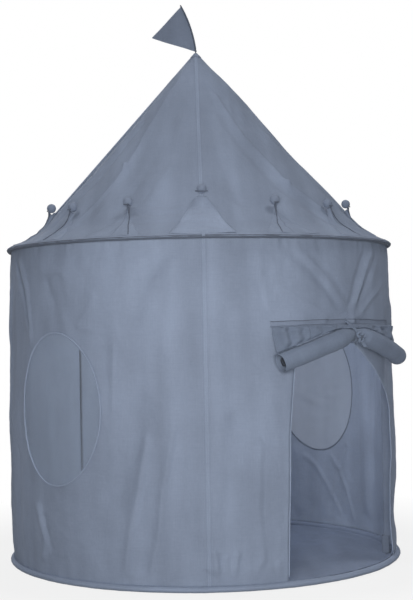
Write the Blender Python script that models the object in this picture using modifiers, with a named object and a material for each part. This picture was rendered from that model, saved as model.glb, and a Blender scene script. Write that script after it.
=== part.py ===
"""A round cloth play tent: two hoops in sleeves, three uprights that meet in a hub under the
peak, a cylindrical wall with a doorway and two mesh windows, and a cone roof with a crown of
points. Metres, +Z up. The front seam is at -Y and a turn is counted in degrees from it
towards +X."""

import bpy
import bmesh
from bisect import bisect_right
from math import atan2, cos, degrees, exp, hypot, pi, radians, sin, tan
from mathutils import Matrix, Vector

# Clearances and cloth
gap = 0.0003
cloth = 0.0016
thin_cloth = 0.0012
overrun = 0.010

# Base hoop, its sleeve and the floor
base_radius = 0.4985
base_tube = 0.0105
sleeve_cloth = 0.0012
base_rod = 0.0060
floor_cloth = 0.0020

# Eave hoop and its sleeve
eave_radius = 0.4952
eave_tube = 0.0075
eave_height = 0.8025
eave_rod = 0.0042

# Hoops are faceted alike, so that what they carry meets them flat
hoop_steps = 48
hoop_sides = 8
sleeve_mouth_steps = 1
joiner_length = 0.040
joiner_wall = 0.0013

# Wall
wall_inset = 0.0020
wall_bulge = 0.0095
wall_columns = 22
wall_rows = 10
fold_depth = 0.0060
panel_turn = 90.0

# Doorway and flap
door_head = 0.588
door_rows = 7
band_low = 0.598
band_height = 0.014
flap_turns = (17.3, 68.9)
binding_radius = 0.0020

# Windows
window_half_width = 0.1367
window_half_height = 0.180
window_height = 0.410
window_turns = (-44.5, 136.0)
# A window's width is measured straight across, and its edge lies on the round wall
window_arc_share = 1.012
piping_radius = 0.0025
mesh_cloth = 0.0008

# Roof
roof_rise = 0.5265
flare_run = 0.0625
flare_rise = 0.0353
crown_hole = 0.0120
roof_columns = 12
flare_rows = 3
cone_rows = 6

# Uprights
upright_turns = (-37.5, 82.5, -157.5)
rod_radius = 0.00325
socket_radius = 0.0065
socket_length = 0.034
roof_rod_depth = 0.0086
upright_inset = 0.0121
rod_sides = 8
tip_radius = 0.0052
tip_length = 0.022
pocket_wide = 0.026
pocket_deep = 0.021
pocket_tall = 0.045

# Hub and flag
hub_radius = 0.0130
hub_height = 0.042
hub_drop = 0.0232
hub_socket = 0.040
flag_rod_radius = 0.0016
flag_rod_seat = 0.016
flag_cloth = 0.0012
flag_neck = 0.006
flag_top = (-0.0385, 0.1210)
flag_fly = (-0.1180, 0.0385)
flag_bow = 0.0060

# Crown points and their balls
crown_count = 14
point_half_width = 0.070
point_tip_half = 0.004
point_lengths = (0.160, 0.118, 0.118, 0.134, 0.125, 0.125, 0.125, 0.125)
point_lean = 0.0055
point_crease = 0.0055
flat_crease = 0.0006
point_columns = 4
crown_gap_columns = 4
point_rows = 4
strip_height = 0.008
ball_radius = 0.0115
ball_seat_share = 0.99

# Rolled door flap and its tie
roll_radius = 0.0215
roll_pinch = 0.0065
roll_clear = 0.0015
roll_bore = 0.0095
roll_bore_depth = 0.024
roll_turns = (15.6, 41.5, 67.0)
roll_height = 0.573
roll_droops = (0.0595, 0.0560)
roll_outs = (0.0120, 0.0040)
roll_rings = 15
tie_width = 0.012
knot_radius = 0.0080
tail_length = 0.030
knot_angle = 20

# Heights and radii that follow from the sizes above
corner_share = tan(pi / hoop_sides)
wall_foot_height = 2 * base_tube + gap
wall_head_height = eave_height - eave_tube - gap
wall_foot_radius = base_radius + wall_inset / 4
wall_head_radius = eave_radius - wall_inset
roof_foot_height = eave_height + eave_tube + cloth + gap
roof_foot_radius = eave_radius - wall_inset
break_radius = roof_foot_radius - flare_run
break_height = roof_foot_height + flare_rise
apex_height = eave_height + roof_rise
cone_angle = atan2(break_radius, apex_height - break_height)
base_outside = base_radius + base_tube / cos(pi / hoop_sides)

slate = (0.215, 0.265, 0.345)


def spot(radius, turn, height):
    """A place given by its radius, its turn from the front seam and its height."""
    angle = radians(turn)
    return Vector((radius * sin(angle), -radius * cos(angle), height))


def outward(turn):
    return spot(1, turn, 0)


def smooth(low, high, value):
    t = min(1, max(0, (value - low) / (high - low)))
    return t * t * (3 - 2 * t)


def between(table, value):
    """Reads a table of (place, amount) rows, straight between them."""
    places = [row[0] for row in table]
    if value <= places[0]:
        return table[0][1]
    if value >= places[-1]:
        return table[-1][1]
    n = bisect_right(places, value) - 1
    share = (value - places[n]) / (places[n + 1] - places[n])
    return table[n][1] + (table[n + 1][1] - table[n][1]) * share


def collection(name):
    made = bpy.data.collections.new(name)
    bpy.context.scene.collection.children.link(made)
    return made


def finish(name, colour, roughness, metallic=0.0):
    made = bpy.data.materials.new(name + "_finish")
    made.use_nodes = True
    shader = made.node_tree.nodes["Principled BSDF"]
    shader.inputs["Base Color"].default_value = (*colour, 1)
    shader.inputs["Roughness"].default_value = roughness
    shader.inputs["Metallic"].default_value = metallic
    return made


def dress(made, look):
    """Gives an object its own material: cloth, net, rod, plastic, rubber or metal."""
    looks = {
        "cloth": (slate, 0.9, 0.0),
        "net": ((0.25, 0.30, 0.38), 0.8, 0.0),
        "rod": ((0.06, 0.065, 0.075), 0.45, 0.0),
        "plastic": ((0.03, 0.03, 0.035), 0.5, 0.0),
        "rubber": ((0.02, 0.02, 0.02), 0.8, 0.0),
        "metal": ((0.55, 0.55, 0.56), 0.35, 1.0),
    }
    colour, roughness, metallic = looks[look]
    made.data.materials.clear()
    made.data.materials.append(finish(made.name, colour, roughness, metallic))
    return made


def put(name, mesh_data, look, group=None):
    made = bpy.data.objects.new(name, mesh_data)
    (group or tent).objects.link(made)
    return dress(made, look)


def from_bmesh(name, shape, look, group=None):
    data = bpy.data.meshes.new(name)
    shape.to_mesh(data)
    shape.free()
    return put(name, data, look, group)


def sheet(name, columns, rows, place, thickness, look="cloth", leave_out=None):
    """A grid laid by place(u, v), with u and v from 0 to 1, and thickened inwards."""
    shape = bmesh.new()
    bmesh.ops.create_grid(shape, x_segments=columns, y_segments=rows, size=0.5)
    if leave_out:
        lost = [
            face
            for face in shape.faces
            if leave_out(face.calc_center_median().x + 0.5, face.calc_center_median().y + 0.5)
        ]
        bmesh.ops.delete(shape, geom=lost, context="FACES")
    for vertex in shape.verts:
        vertex.co = place(vertex.co.x + 0.5, vertex.co.y + 0.5)
    bmesh.ops.remove_doubles(shape, verts=shape.verts, dist=gap / 10)
    made = from_bmesh(name, shape, look)
    made.data.shade_smooth()
    wall = made.modifiers.new("Thickness", "SOLIDIFY")
    wall.thickness = thickness
    wall.offset = -1
    return made


def tube(name, points, radius, look, resolution=2, closed=False, radii=None):
    data = bpy.data.curves.new(name, "CURVE")
    data.dimensions = "3D"
    data.bevel_depth = radius
    data.bevel_resolution = resolution
    data.use_fill_caps = not closed
    line = data.splines.new("POLY")
    line.points.add(len(points) - 1)
    line.use_cyclic_u = closed
    for n, point in enumerate(points):
        line.points[n].co = (*point, 1)
        line.points[n].radius = radii[n] if radii else 1
    return put(name, data, look)


def evaluated(made):
    """The object's mesh as its modifiers leave it, closed, in world space."""
    bpy.context.view_layer.update()
    graph = bpy.context.evaluated_depsgraph_get()
    data = bpy.data.meshes.new_from_object(made.evaluated_get(graph))
    data.transform(made.matrix_world)
    shape = bmesh.new()
    shape.from_mesh(data)
    bmesh.ops.remove_doubles(shape, verts=shape.verts, dist=gap / 10)
    shape.to_mesh(data)
    shape.free()
    return data


def as_mesh(made, look):
    name = made.name
    data = evaluated(made)
    bpy.data.objects.remove(made)
    data.materials.clear()
    return put(name, data, look)


def rod_between(name, start, end, radius, look, sides=rod_sides, group=None):
    shape = bmesh.new()
    along = end - start
    bmesh.ops.create_cone(
        shape,
        cap_ends=True,
        segments=sides,
        radius1=radius,
        radius2=radius,
        depth=along.length,
        matrix=Matrix.Translation((start + end) / 2)
        @ along.to_track_quat("Z", "Y").to_matrix().to_4x4(),
    )
    return from_bmesh(name, shape, look, group)


def cut(made, cutter, operation="DIFFERENCE"):
    """Cuts with the cutter, or joins or trims to it, and keeps the cutter out of sight."""
    if cutter.name not in cutters.objects:
        for holder in list(cutter.users_collection):
            holder.objects.unlink(cutter)
        cutters.objects.link(cutter)
    cutter.hide_render = True
    cutter.display_type = "WIRE"
    step = made.modifiers.new(cutter.name, "BOOLEAN")
    step.operation = operation
    step.object = cutter
    return made


def turned(name, profile, steps, look, start=0.0, sweep=360.0, closed_profile=False):
    """A profile of (radius, height) points, swept about the tent's axis."""
    data = bpy.data.meshes.new(name)
    edges = [(n, n + 1) for n in range(len(profile) - 1)]
    if closed_profile:
        edges.append((len(profile) - 1, 0))
    data.from_pydata([(r, 0, z) for r, z in profile], edges, [])
    made = put(name, data, look)
    made.rotation_euler.z = radians(start)
    screw = made.modifiers.new("Sweep", "SCREW")
    screw.angle = radians(sweep)
    screw.steps = steps
    screw.render_steps = steps
    screw.use_merge_vertices = True
    screw.merge_threshold = gap / 10
    return made


# Hoops and sleeves
def ring_profile(radius, height, half):
    """An upright octagon whose flats lie above, below, inside and outside the hoop's line."""
    far = half / cos(pi / hoop_sides)
    corners = [pi / hoop_sides + 2 * pi * n / hoop_sides for n in range(hoop_sides)]
    return [(radius + far * cos(a), height + far * sin(a)) for a in corners]


def sleeve(name, radius, height, half):
    """The cloth tunnel round a hoop, open at the back where the rods are fed in."""
    step = 360 / hoop_steps
    steps = hoop_steps - sleeve_mouth_steps
    start = panel_turn + step * sleeve_mouth_steps
    made = turned(
        name,
        ring_profile(radius, height, half)[::-1],
        steps,
        "cloth",
        start,
        steps * step,
        closed_profile=True,
    )
    wall = made.modifiers.new("Thickness", "SOLIDIFY")
    wall.thickness = sleeve_cloth
    wall.offset = -1
    wall.use_even_offset = True
    return made


def hoop_line(radius, height, start, end):
    """Points on the faceted hoop from the middle of one facet to the middle of another."""
    step = 360 / hoop_steps
    flat = radius * cos(radians(step / 2))
    turns = [start]
    turn = start + step / 2
    while turn < end:
        turns.append(turn)
        turn += step
    turns.append(end)
    return [
        spot(flat if n in (0, len(turns) - 1) else radius, t, height)
        for n, t in enumerate(turns)
    ]


def hoop(label, radius, height, rod):
    """A hoop of one bent rod whose ends meet in a tubular joiner at the sleeve's mouth."""
    step = 360 / hoop_steps
    start = 2 * panel_turn + step / 2
    points = hoop_line(radius, height, start, start + 360)
    points[0] += (points[1] - points[0]).normalized() * gap / 2
    points[-1] += (points[-2] - points[-1]).normalized() * gap / 2
    tube(label + "_hoop", points, rod, "rod", resolution=2)
    middle = spot(radius * cos(radians(step / 2)), start, height)
    reach = spot(joiner_length / 2, start + panel_turn, 0)
    outside = rod + joiner_wall
    joiner = rod_between(label + "_joiner", middle - reach, middle + reach, outside, "metal", 12)
    bore = rod_between(
        label + "_joiner_bore",
        middle - reach * (1 + overrun / joiner_length),
        middle + reach * (1 + overrun / joiner_length),
        rod / cos(pi / 12) + gap,
        "metal",
        12,
        cutters,
    )
    cut(joiner, bore)


# The wall
def wall_share(height):
    return (height - wall_foot_height) / (wall_head_height - wall_foot_height)


def wall_radius(height):
    """The outside of the cloth wall, which bellies out between its two hoops."""
    share = min(1, max(0, wall_share(height)))
    line = wall_foot_radius + (wall_head_radius - wall_foot_radius) * share
    return line + wall_bulge * max(0, sin(pi * share)) ** 0.6


# Each fold has its turn and share of the wall's height at its upper end, the same at its
# lower end, its spread in degrees and its depth
left_fold_shares = (
    (-10.0, 0.97, -19.0, 0.77, 4.0, -0.7),
    (-14.0, 0.60, -23.5, 0.25, 4.5, -0.9),
    (-15.2, 0.42, -21.8, 0.04, 3.5, 0.7),
    (-8.3, 0.45, -15.0, 0.04, 3.5, 0.5),
    (-68.0, 0.99, -57.5, 0.74, 3.5, 0.9),
    (-76.0, 0.80, -80.0, 0.15, 4.5, 0.6),
)
door_fold_shares = (
    (27.0, 0.965, 42.0, 0.78, 4.5, 1.1),
    (57.0, 0.98, 45.0, 0.78, 4.0, 1.1),
    (42.0, 0.97, 43.5, 0.80, 4.5, -0.9),
    (6.0, 0.86, 7.4, 0.46, 4.0, -0.6),
    (7.2, 0.46, 5.0, 0.06, 4.0, -0.7),
    (14.5, 0.95, 16.8, 0.80, 3.5, 0.5),
    (14.0, 0.45, 13.5, 0.05, 3.5, 0.5),
    (77.5, 0.80, 78.0, 0.20, 3.0, 0.4),
)
right_fold_shares = (
    (104.0, 0.95, 108.0, 0.20, 5.0, 0.8),
    (118.0, 0.98, 112.0, 0.05, 4.5, -0.6),
    (160.0, 0.90, 152.0, 0.10, 5.0, 0.8),
    (172.0, 0.95, 166.0, 0.10, 5.0, -0.6),
)
back_fold_shares = (
    (196.0, 0.95, 204.0, 0.15, 5.0, 0.8),
    (216.0, 0.98, 210.0, 0.05, 4.5, -0.7),
    (236.0, 0.90, 246.0, 0.10, 5.5, 0.9),
    (256.0, 0.95, 252.0, 0.30, 4.5, -0.6),
)
# Folds die away at the hoops and side seams, round the windows and along the door band
hoop_fade_share = 0.08
fold_end_share = 0.12
seam_fade_turn = 5.0
band_fade = 0.040


def fold(folds, turn, height):
    share = wall_share(height)
    depth = 0.0
    for upper, top, lower, bottom, spread, part in folds:
        along = min(1, max(0, (share - bottom) / (top - bottom)))
        middle = lower + (upper - lower) * along
        past = max(bottom - share, share - top, 0)
        ends = smooth(0, fold_end_share, fold_end_share - past)
        depth += part * ends * exp(-(((turn - middle) / spread) ** 2))
    fade = smooth(0, hoop_fade_share, share) * smooth(0, hoop_fade_share, 1 - share)
    for window in window_turns:
        across = ((turn - window + 180) % 360 - 180) * radians(1) * base_radius
        off = hypot(across / window_half_width, (height - window_height) / window_half_height)
        fade *= smooth(1.1, 1.4, off)
    return fold_depth * depth * fade


def wall_place(first, folds):
    def place(u, v):
        height = wall_foot_height + (wall_head_height - wall_foot_height) * v
        turn = first + panel_turn * u
        edge = min(u, 1 - u) * panel_turn
        radius = wall_radius(height) + fold(folds, turn, height) * smooth(0, seam_fade_turn, edge)
        inset = degrees(gap / 2 / radius) * (1 - 2 * u)
        return spot(radius, turn + inset, height)

    return place


# The doorway's edges, as turns at shares of the way from the floor to its head
left_jamb_shares = ((0.0, 21.2), (0.56, 22.2), (0.84, 23.7), (1.0, 24.5))
right_jamb_shares = (
    (0.0, 68.0),
    (0.66, 68.0),
    (0.73, 66.0),
    (0.78, 60.5),
    (0.87, 53.0),
    (0.94, 46.5),
    (1.0, 43.5),
)
door_row_shares = (0.0, 0.22, 0.44, 0.60, 0.70, 0.78, 0.87, 1.0)
door_column_counts = (6, 13, 6)
above_door_shares = (0.0, 0.14, 0.30, 0.48, 0.66, 0.84, 1.0)


def band_share(height):
    """How far the folds are let through near the stitched band."""
    off = max(band_low - height, height - band_low - band_height - binding_radius, 0)
    return smooth(band_fade / 4, band_fade, off)


def door_place(u, v):
    """Columns follow both jambs up to the door's head and straighten out above it."""
    above = len(above_door_shares) - 1
    row = v * (door_rows + above)
    if row <= door_rows:
        share = door_row_shares[round(row)]
        height = wall_foot_height + (door_head - wall_foot_height) * share
        straight = 0.0
    else:
        share = 1.0
        climb = above_door_shares[round(row) - door_rows]
        height = door_head + (wall_head_height - door_head) * climb
        straight = smooth(0, 0.5, climb)
    jambs = [between(left_jamb_shares, share), between(right_jamb_shares, share)]
    plumb = [left_jamb_shares[0][1], right_jamb_shares[0][1]]
    jambs = [j + (p - j) * straight for j, p in zip(jambs, plumb)]
    edges = [0.0, jambs[0], jambs[1], panel_turn]
    column = u * sum(door_column_counts)
    part = 0
    while part < 2 and column > door_column_counts[part]:
        column -= door_column_counts[part]
        part += 1
    along = column / door_column_counts[part]
    turn = edges[part] + (edges[part + 1] - edges[part]) * along
    edge = min(turn, panel_turn - turn)
    depth = fold(door_fold_shares, turn, height) * smooth(0, seam_fade_turn, edge)
    radius = wall_radius(height) + depth * band_share(height)
    inset = degrees(gap / 2 / radius) * (1 - 2 * u)
    return spot(radius, turn + inset, height)


def in_doorway(u, v):
    column = u * sum(door_column_counts)
    inside = door_column_counts[0] < column < door_column_counts[0] + door_column_counts[1]
    return inside and v * (door_rows + len(above_door_shares) - 1) < door_rows


def oval(name, turn, half_width, half_height, depth):
    """An oval block that crosses the wall at a window."""
    shape = bmesh.new()
    bmesh.ops.create_cone(
        shape, cap_ends=True, segments=32, radius1=1, radius2=1, depth=1
    )
    lay = Matrix.Rotation(radians(turn), 4, "Z") @ Matrix.Rotation(radians(90), 4, "X")
    for vertex in shape.verts:
        flat = Vector((vertex.co.x * half_width, vertex.co.y * half_height, vertex.co.z * depth))
        vertex.co = lay @ flat + spot(base_radius, turn, window_height)
    return from_bmesh(name, shape, "cloth", cutters)


def window(label, panel, turn):
    """An oval hole, a net a stitch smaller, and piping over the edge between them."""
    depth = 10 * overrun
    cut(panel, oval(label + "_hole", turn, window_half_width, window_half_height, depth))
    sill = window_height - window_half_height - overrun
    tall = 2 * (window_half_height + overrun)
    reach = degrees(window_half_width / base_radius) + panel_turn / wall_columns

    def place(u, v):
        height = sill + tall * v
        return spot(wall_radius(height) - mesh_cloth / 2, turn + reach * (2 * u - 1), height)

    net = sheet("window_net_" + label, 10, 5, place, mesh_cloth, "net")
    fit = oval(
        label + "_net_edge", turn, window_half_width - gap, window_half_height - gap, depth
    )
    cut(net, fit, "INTERSECT")
    points = []
    count = 32
    for n in range(count):
        angle = 2 * pi * n / count
        across = window_half_width * sin(angle)
        height = window_height + window_half_height * cos(angle)
        lift = wall_radius(height) + piping_radius + 3 * gap
        points.append(spot(lift, turn + degrees(across / lift) * window_arc_share, height))
    tube("window_piping_" + label, points, piping_radius, "cloth", 1, closed=True)


def door_band():
    """The stitched band that the flap hangs from, on the outside of the wall."""
    def place(u, v):
        height = band_low + band_height * v
        turn = flap_turns[0] + (flap_turns[1] - flap_turns[0]) * u
        return spot(wall_radius(height) + thin_cloth + 2 * gap, turn, height)

    sheet("door_band", 16, 1, place, thin_cloth)


def door_binding():
    """The bound edge of the doorway, up one jamb, along the head and down the other."""
    low = wall_foot_height + binding_radius
    drop = binding_radius + gap
    points = []
    for share in door_row_shares:
        height = max(low, wall_foot_height + (door_head - wall_foot_height) * share - drop * (share > 0.99))
        radius = wall_radius(height) - cloth / 2
        turn = between(left_jamb_shares, share) + degrees(2 * drop / radius)
        points.append(spot(radius, turn, height))
    first = between(left_jamb_shares, 1.0)
    last = between(right_jamb_shares, 1.0)
    for n in range(1, 6):
        turn = first + (last - first) * n / 6
        points.append(spot(wall_radius(door_head) - cloth / 2, turn, door_head - 2 * drop))
    for share in reversed(door_row_shares):
        height = max(low, wall_foot_height + (door_head - wall_foot_height) * share - drop * (share > 0.99))
        radius = wall_radius(height) - cloth / 2
        slant = smooth(0.6, 0.9, share)
        turn = between(right_jamb_shares, share) - degrees(2 * drop / radius) * (1 + slant)
        points.append(spot(radius, turn, height))
    tube("door_binding", points, binding_radius, "cloth", 1)


# The roof
def roof_profile(v):
    """Radius and height of the roof's outside, from the eave up to the hole at the peak."""
    rows = flare_rows + cone_rows
    row = v * rows
    if row < flare_rows:
        share = row / flare_rows
        radius = roof_foot_radius - flare_run * share
        return radius, roof_foot_height + flare_rise * (0.55 * share + 0.45 * share * share)
    share = (row - flare_rows) / cone_rows
    radius = break_radius + (crown_hole - break_radius) * share
    return radius, apex_height - radius / tan(cone_angle)


# Each ridge has its turn at the peak, its turn at the eave, its spread and its depth
roof_ridge_shares = (
    (-37.5, -37.5, 5, 0.5),
    (82.5, 82.5, 5, 0.5),
    (-157.5, -157.5, 5, 0.5),
    (26, 52, 6, 0.6),
    (120, 132, 7, 0.6),
    (205, 232, 7, 0.6),
    (-105, -118, 7, 0.6),
    (15, 20, 6, -0.4),
    (-20, -20, 6, -0.4),
)
roof_fold = 0.0050


def roof_place(first):
    def place(u, v):
        radius, height = roof_profile(v)
        turn = first + panel_turn * u
        depth = 0.0
        for peak, eave, spread, part in roof_ridge_shares:
            middle = eave + (peak - eave) * v
            off = (turn - middle + 180) % 360 - 180
            depth += part * exp(-((off / spread) ** 2))
        edge = min(u, 1 - u) * panel_turn
        depth *= smooth(0, seam_fade_turn, edge) * smooth(0.42, 0.6, v) * smooth(0, 0.2, 1 - v)
        radius += roof_fold * depth * cos(cone_angle)
        height += roof_fold * depth * sin(cone_angle)
        inset = degrees(gap / 2 / radius) * (1 - 2 * u)
        return spot(radius, turn + inset, height)

    return place


def up_the_roof(length):
    """A point on the roof's outside a cloth length up from the eave, and its outward slope."""
    travelled = 0.0
    steps = 60
    before = roof_profile(0)
    for n in range(1, steps + 1):
        now = roof_profile(n / steps)
        piece = hypot(now[0] - before[0], now[1] - before[1])
        if travelled + piece >= length:
            share = (length - travelled) / piece
            radius = before[0] + (now[0] - before[0]) * share
            height = before[1] + (now[1] - before[1]) * share
            slope = Vector((now[1] - before[1], before[0] - now[0])).normalized()
            return radius, height, slope
        travelled += piece
        before = now
    raise ValueError("the point is longer than the roof")


def crown_trim():
    """One strip sewn into the eave seam, with a point that leans off the roof at each ball."""
    pitch = 360 / crown_count
    each = point_columns + crown_gap_columns

    def place(u, v):
        column = u * crown_count * each
        number = min(crown_count - 1, int(column / each + gap))
        column -= number * each + crown_gap_columns / 2
        across = 2 * column / point_columns - 1
        turn = pitch * number
        length = point_lengths[min(number, crown_count - number)]
        crease = point_crease if number else flat_crease
        lean = point_lean if number else flat_crease
        row = v * point_rows
        up = strip_height * row if row <= 1 else strip_height + (length - strip_height) * (
            (row - 1) / (point_rows - 1)
        )
        share = max(0, (up - strip_height) / (length - strip_height))
        half = point_tip_half + (point_half_width - point_tip_half) * (1 - share) ** 1.25
        radius, height, slope = up_the_roof(up)
        lift = thin_cloth + 2 * gap + lean * share * share
        lift += crease * max(0, 1 - abs(across)) * smooth(0, 0.4, share)
        if abs(across) <= 1.001:
            turn += degrees(half * across / radius)
        else:
            side = 1 if across > 0 else -1
            edge = degrees(point_half_width / radius)
            past = (abs(across) - 1) * point_columns / crown_gap_columns
            turn += side * (edge + (pitch / 2 - edge) * past)
        radius += slope.x * lift
        height += slope.y * lift
        return spot(radius, turn, height)

    def between_points(u, v):
        column = (u * crown_count * each) % each
        low = crown_gap_columns / 2
        return v * point_rows > 1 and not low < column < low + point_columns

    sheet("crown_trim", crown_count * each, point_rows, place, thin_cloth, "cloth", between_points)


def crown_balls():
    """Each stuffed ball lies on the roof and is sewn to the tip of its point."""
    for n in range(crown_count):
        length = point_lengths[min(n, crown_count - n)]
        lift = thin_cloth / 2 + 2 * gap + (point_lean + point_crease if n else 2 * flat_crease)
        radius, height, slope = up_the_roof(length)
        off = max(lift, ball_radius + 2 * gap)
        seat = ball_radius * ball_seat_share
        away = (seat * seat - (off - lift) ** 2) ** 0.5 + gap
        centre = spot(
            radius - away * sin(cone_angle) + slope.x * off,
            360 / crown_count * n,
            height + away * cos(cone_angle) + slope.y * off,
        )
        shape = bmesh.new()
        bmesh.ops.create_uvsphere(
            shape, u_segments=8, v_segments=6, radius=ball_radius, matrix=Matrix.Translation(centre)
        )
        from_bmesh(f"crown_ball_{n + 1:02d}", shape, "cloth")


def roof_cap():
    """A small cloth cone over the tops of the four roof panels."""
    steps = 16
    clear = (cloth + 2 * gap) / cos(pi / steps)
    spread = 1 / cos(pi / steps)
    low = 2.6 * crown_hole
    high = flag_rod_radius + 4 * gap
    rows = [low + (high - low) * n / 3 for n in range(4)]
    profile = [
        (r * spread, apex_height - r / tan(cone_angle) + clear / sin(cone_angle)) for r in rows
    ]
    made = turned("roof_cap", profile[::-1], steps, "cloth")
    wall = made.modifiers.new("Thickness", "SOLIDIFY")
    wall.thickness = thin_cloth
    wall.offset = -1


# Uprights
def upright_line(turn):
    """Foot, bend and peak ends of one upright's centre line."""
    sink = roof_rod_depth / cos(cone_angle)
    foot_radius = base_radius - base_tube - upright_inset
    bend_radius = eave_radius - eave_tube / 2 - upright_inset - wall_inset
    bend_height = apex_height - (bend_radius + sink) / tan(cone_angle)
    peak_radius = hub_radius
    peak_height = apex_height - (peak_radius + sink) / tan(cone_angle)
    foot = spot(foot_radius, turn, floor_cloth + 2 * gap + tip_length / 4)
    bend = spot(bend_radius, turn, bend_height)
    return foot, bend, spot(peak_radius, turn, peak_height)


def uprights():
    for n, turn in enumerate(upright_turns):
        label = "_" + str(n + 1)
        foot, bend, peak = upright_line(turn)
        up = (bend - foot).normalized()
        slope = (peak - bend).normalized()
        inside = 2 * socket_radius
        rod_between("wall_rod" + label, foot, bend - up * inside, rod_radius, "rod")
        rod_between(
            "roof_rod" + label, bend + slope * inside, peak - slope * gap, rod_radius, "rod"
        )
        elbow(label, bend, up, slope)
        foot_tip(label, foot, up)
        pocket(label, turn)


def elbow(label, bend, up, slope):
    """The moulded corner that turns an upright from the wall to the roof."""
    ends = [bend - up * socket_length, bend, bend + slope * socket_length]
    made = tube("elbow" + label, ends, socket_radius, "plastic", 2)
    made = as_mesh(made, "plastic")
    bore = rod_radius / cos(pi / rod_sides) + gap
    floor = 2 * socket_radius - gap
    for name, way in (("_low_bore", -up), ("_high_bore", slope)):
        cutter = rod_between(
            "elbow" + label + name,
            bend + way * floor,
            bend + way * (socket_length + overrun),
            bore,
            "plastic",
            group=cutters,
        )
        cut(made, cutter)
    return made


def foot_tip(label, foot, up):
    bottom = foot - up * (tip_length / 4)
    made = rod_between("rod_tip" + label, bottom, bottom + up * tip_length, tip_radius, "rubber")
    bore = rod_between(
        "tip_bore" + label,
        foot - up * gap,
        foot + up * (tip_length + overrun),
        rod_radius / cos(pi / rod_sides) + gap,
        "rubber",
        group=cutters,
    )
    return cut(made, bore)


def block(name, turn, radius, size, height, group=None):
    """An upright box of (wide, deep, tall) whose outer face is at the radius."""
    shape = bmesh.new()
    bmesh.ops.create_cube(shape, size=1)
    lay = Matrix.Rotation(radians(turn), 4, "Z")
    middle = spot(radius - size[1] / 2, turn, height + size[2] / 2)
    for vertex in shape.verts:
        scaled = Vector([vertex.co[n] * size[n] for n in range(3)])
        vertex.co = lay @ scaled + middle
    return from_bmesh(name, shape, "cloth", group)


def pocket(label, turn):
    """The cloth pocket in the floor seam that holds an upright's foot."""
    low = floor_cloth + gap
    outer = base_radius - base_tube - (pocket_wide / 2) * tan(radians(180 / hoop_steps)) - gap
    made = block("foot_pocket" + label, turn, outer, (pocket_wide, pocket_deep, pocket_tall), low)
    size = (pocket_wide - 2 * thin_cloth, pocket_deep - 2 * thin_cloth, pocket_tall + overrun)
    hollow = block("pocket_hollow" + label, turn, outer - thin_cloth, size, low - overrun / 2, cutters)
    return cut(made, hollow)


def hub():
    """The moulded hub under the peak: a core with three sloping sockets and a flag bore."""
    top = apex_height - hub_drop
    core = rod_between(
        "hub", Vector((0, 0, top - hub_height)), Vector((0, 0, top)), hub_radius, "plastic", 16
    )
    for n, turn in enumerate(upright_turns):
        _, bend, peak = upright_line(turn)
        down = (bend - peak).normalized()
        arm = rod_between(
            "hub_arm_" + str(n + 1),
            peak - down * hub_radius / 2,
            peak + down * hub_socket,
            socket_radius,
            "plastic",
            group=cutters,
        )
        cut(core, arm, "UNION")
    for n, turn in enumerate(upright_turns):
        _, bend, peak = upright_line(turn)
        down = (bend - peak).normalized()
        bore = rod_between(
            "hub_arm_bore_" + str(n + 1),
            peak,
            peak + down * (hub_socket + overrun),
            rod_radius / cos(pi / rod_sides) + gap,
            "plastic",
            group=cutters,
        )
        cut(core, bore)
    flag_bore = rod_between(
        "hub_flag_bore",
        Vector((0, 0, top - flag_rod_seat)),
        Vector((0, 0, top + overrun)),
        flag_rod_radius / cos(pi / rod_sides) + gap,
        "plastic",
        group=cutters,
    )
    cut(core, flag_bore)


# Flag
def flag_edge(share):
    """The bowed staff line from the peak to the flag's top corner, as (x, z)."""
    x = flag_top[0] * share
    z = flag_top[1] * share
    bow = flag_bow * 4 * share * (1 - share)
    length = hypot(*flag_top)
    return x + bow * flag_top[1] / length, z - bow * flag_top[0] / length


def flag():
    base = apex_height + flag_neck
    points = [Vector((0, 0, apex_height - hub_drop - flag_rod_seat + gap)), Vector((0, 0, apex_height))]
    count = 7
    for n in range(count + 1):
        x, z = flag_edge(n / count)
        points.append(Vector((x, 0, base + z)))
    tube("flag_rod", points, flag_rod_radius, "rod", 1)
    data = bpy.data.curves.new("flag", "CURVE")
    data.dimensions = "2D"
    data.fill_mode = "BOTH"
    data.extrude = flag_cloth / 2
    line = data.splines.new("POLY")
    beside = flag_rod_radius * 1.2 + gap
    outline = []
    for n in range(count + 1):
        share = 0.06 + 0.90 * n / count
        x, z = flag_edge(share)
        outline.append((x - beside, z - beside * 0.2))
    outline.append((flag_fly[0], flag_fly[1]))
    line.points.add(len(outline) - 1)
    line.use_cyclic_u = True
    for n, (x, z) in enumerate(outline):
        line.points[n].co = (x, z, 0, 1)
    cloth_flag = put("flag", data, "cloth")
    cloth_flag.rotation_euler.x = radians(90)
    cloth_flag.location = (0, 0, base)
    as_mesh(cloth_flag, "cloth")


# The rolled flap
def roll_spot(t):
    """Centre of the rolled flap at t from -1 at its left end to 1 at its right."""
    side = 0 if t < 0 else 1
    soft = 0.2
    droop = (hypot(t, soft) - soft) / (hypot(1, soft) - soft)
    reach = abs(t)
    turn = roll_turns[1] + (roll_turns[2 * side] - roll_turns[1]) * reach
    radius = base_outside + roll_clear + roll_size(t) + roll_outs[side] * reach**1.5
    return spot(radius, turn, roll_height - roll_droops[side] * droop)


def roll_size(t):
    return roll_radius - roll_pinch * exp(-((t / 0.17) ** 2))


def tie_outside():
    return roll_radius - roll_pinch + 7 * gap + thin_cloth


def roll_frame(t):
    """Centre, direction, outward and upward vectors of the roll at t."""
    centre = roll_spot(t)
    step = 0.02
    along = (roll_spot(min(1, t + step)) - roll_spot(max(-1, t - step))).normalized()
    out = Vector((centre.x, centre.y, 0)).normalized()
    out = (out - along * out.dot(along)).normalized()
    return centre, along, out, out.cross(along).normalized()


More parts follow.
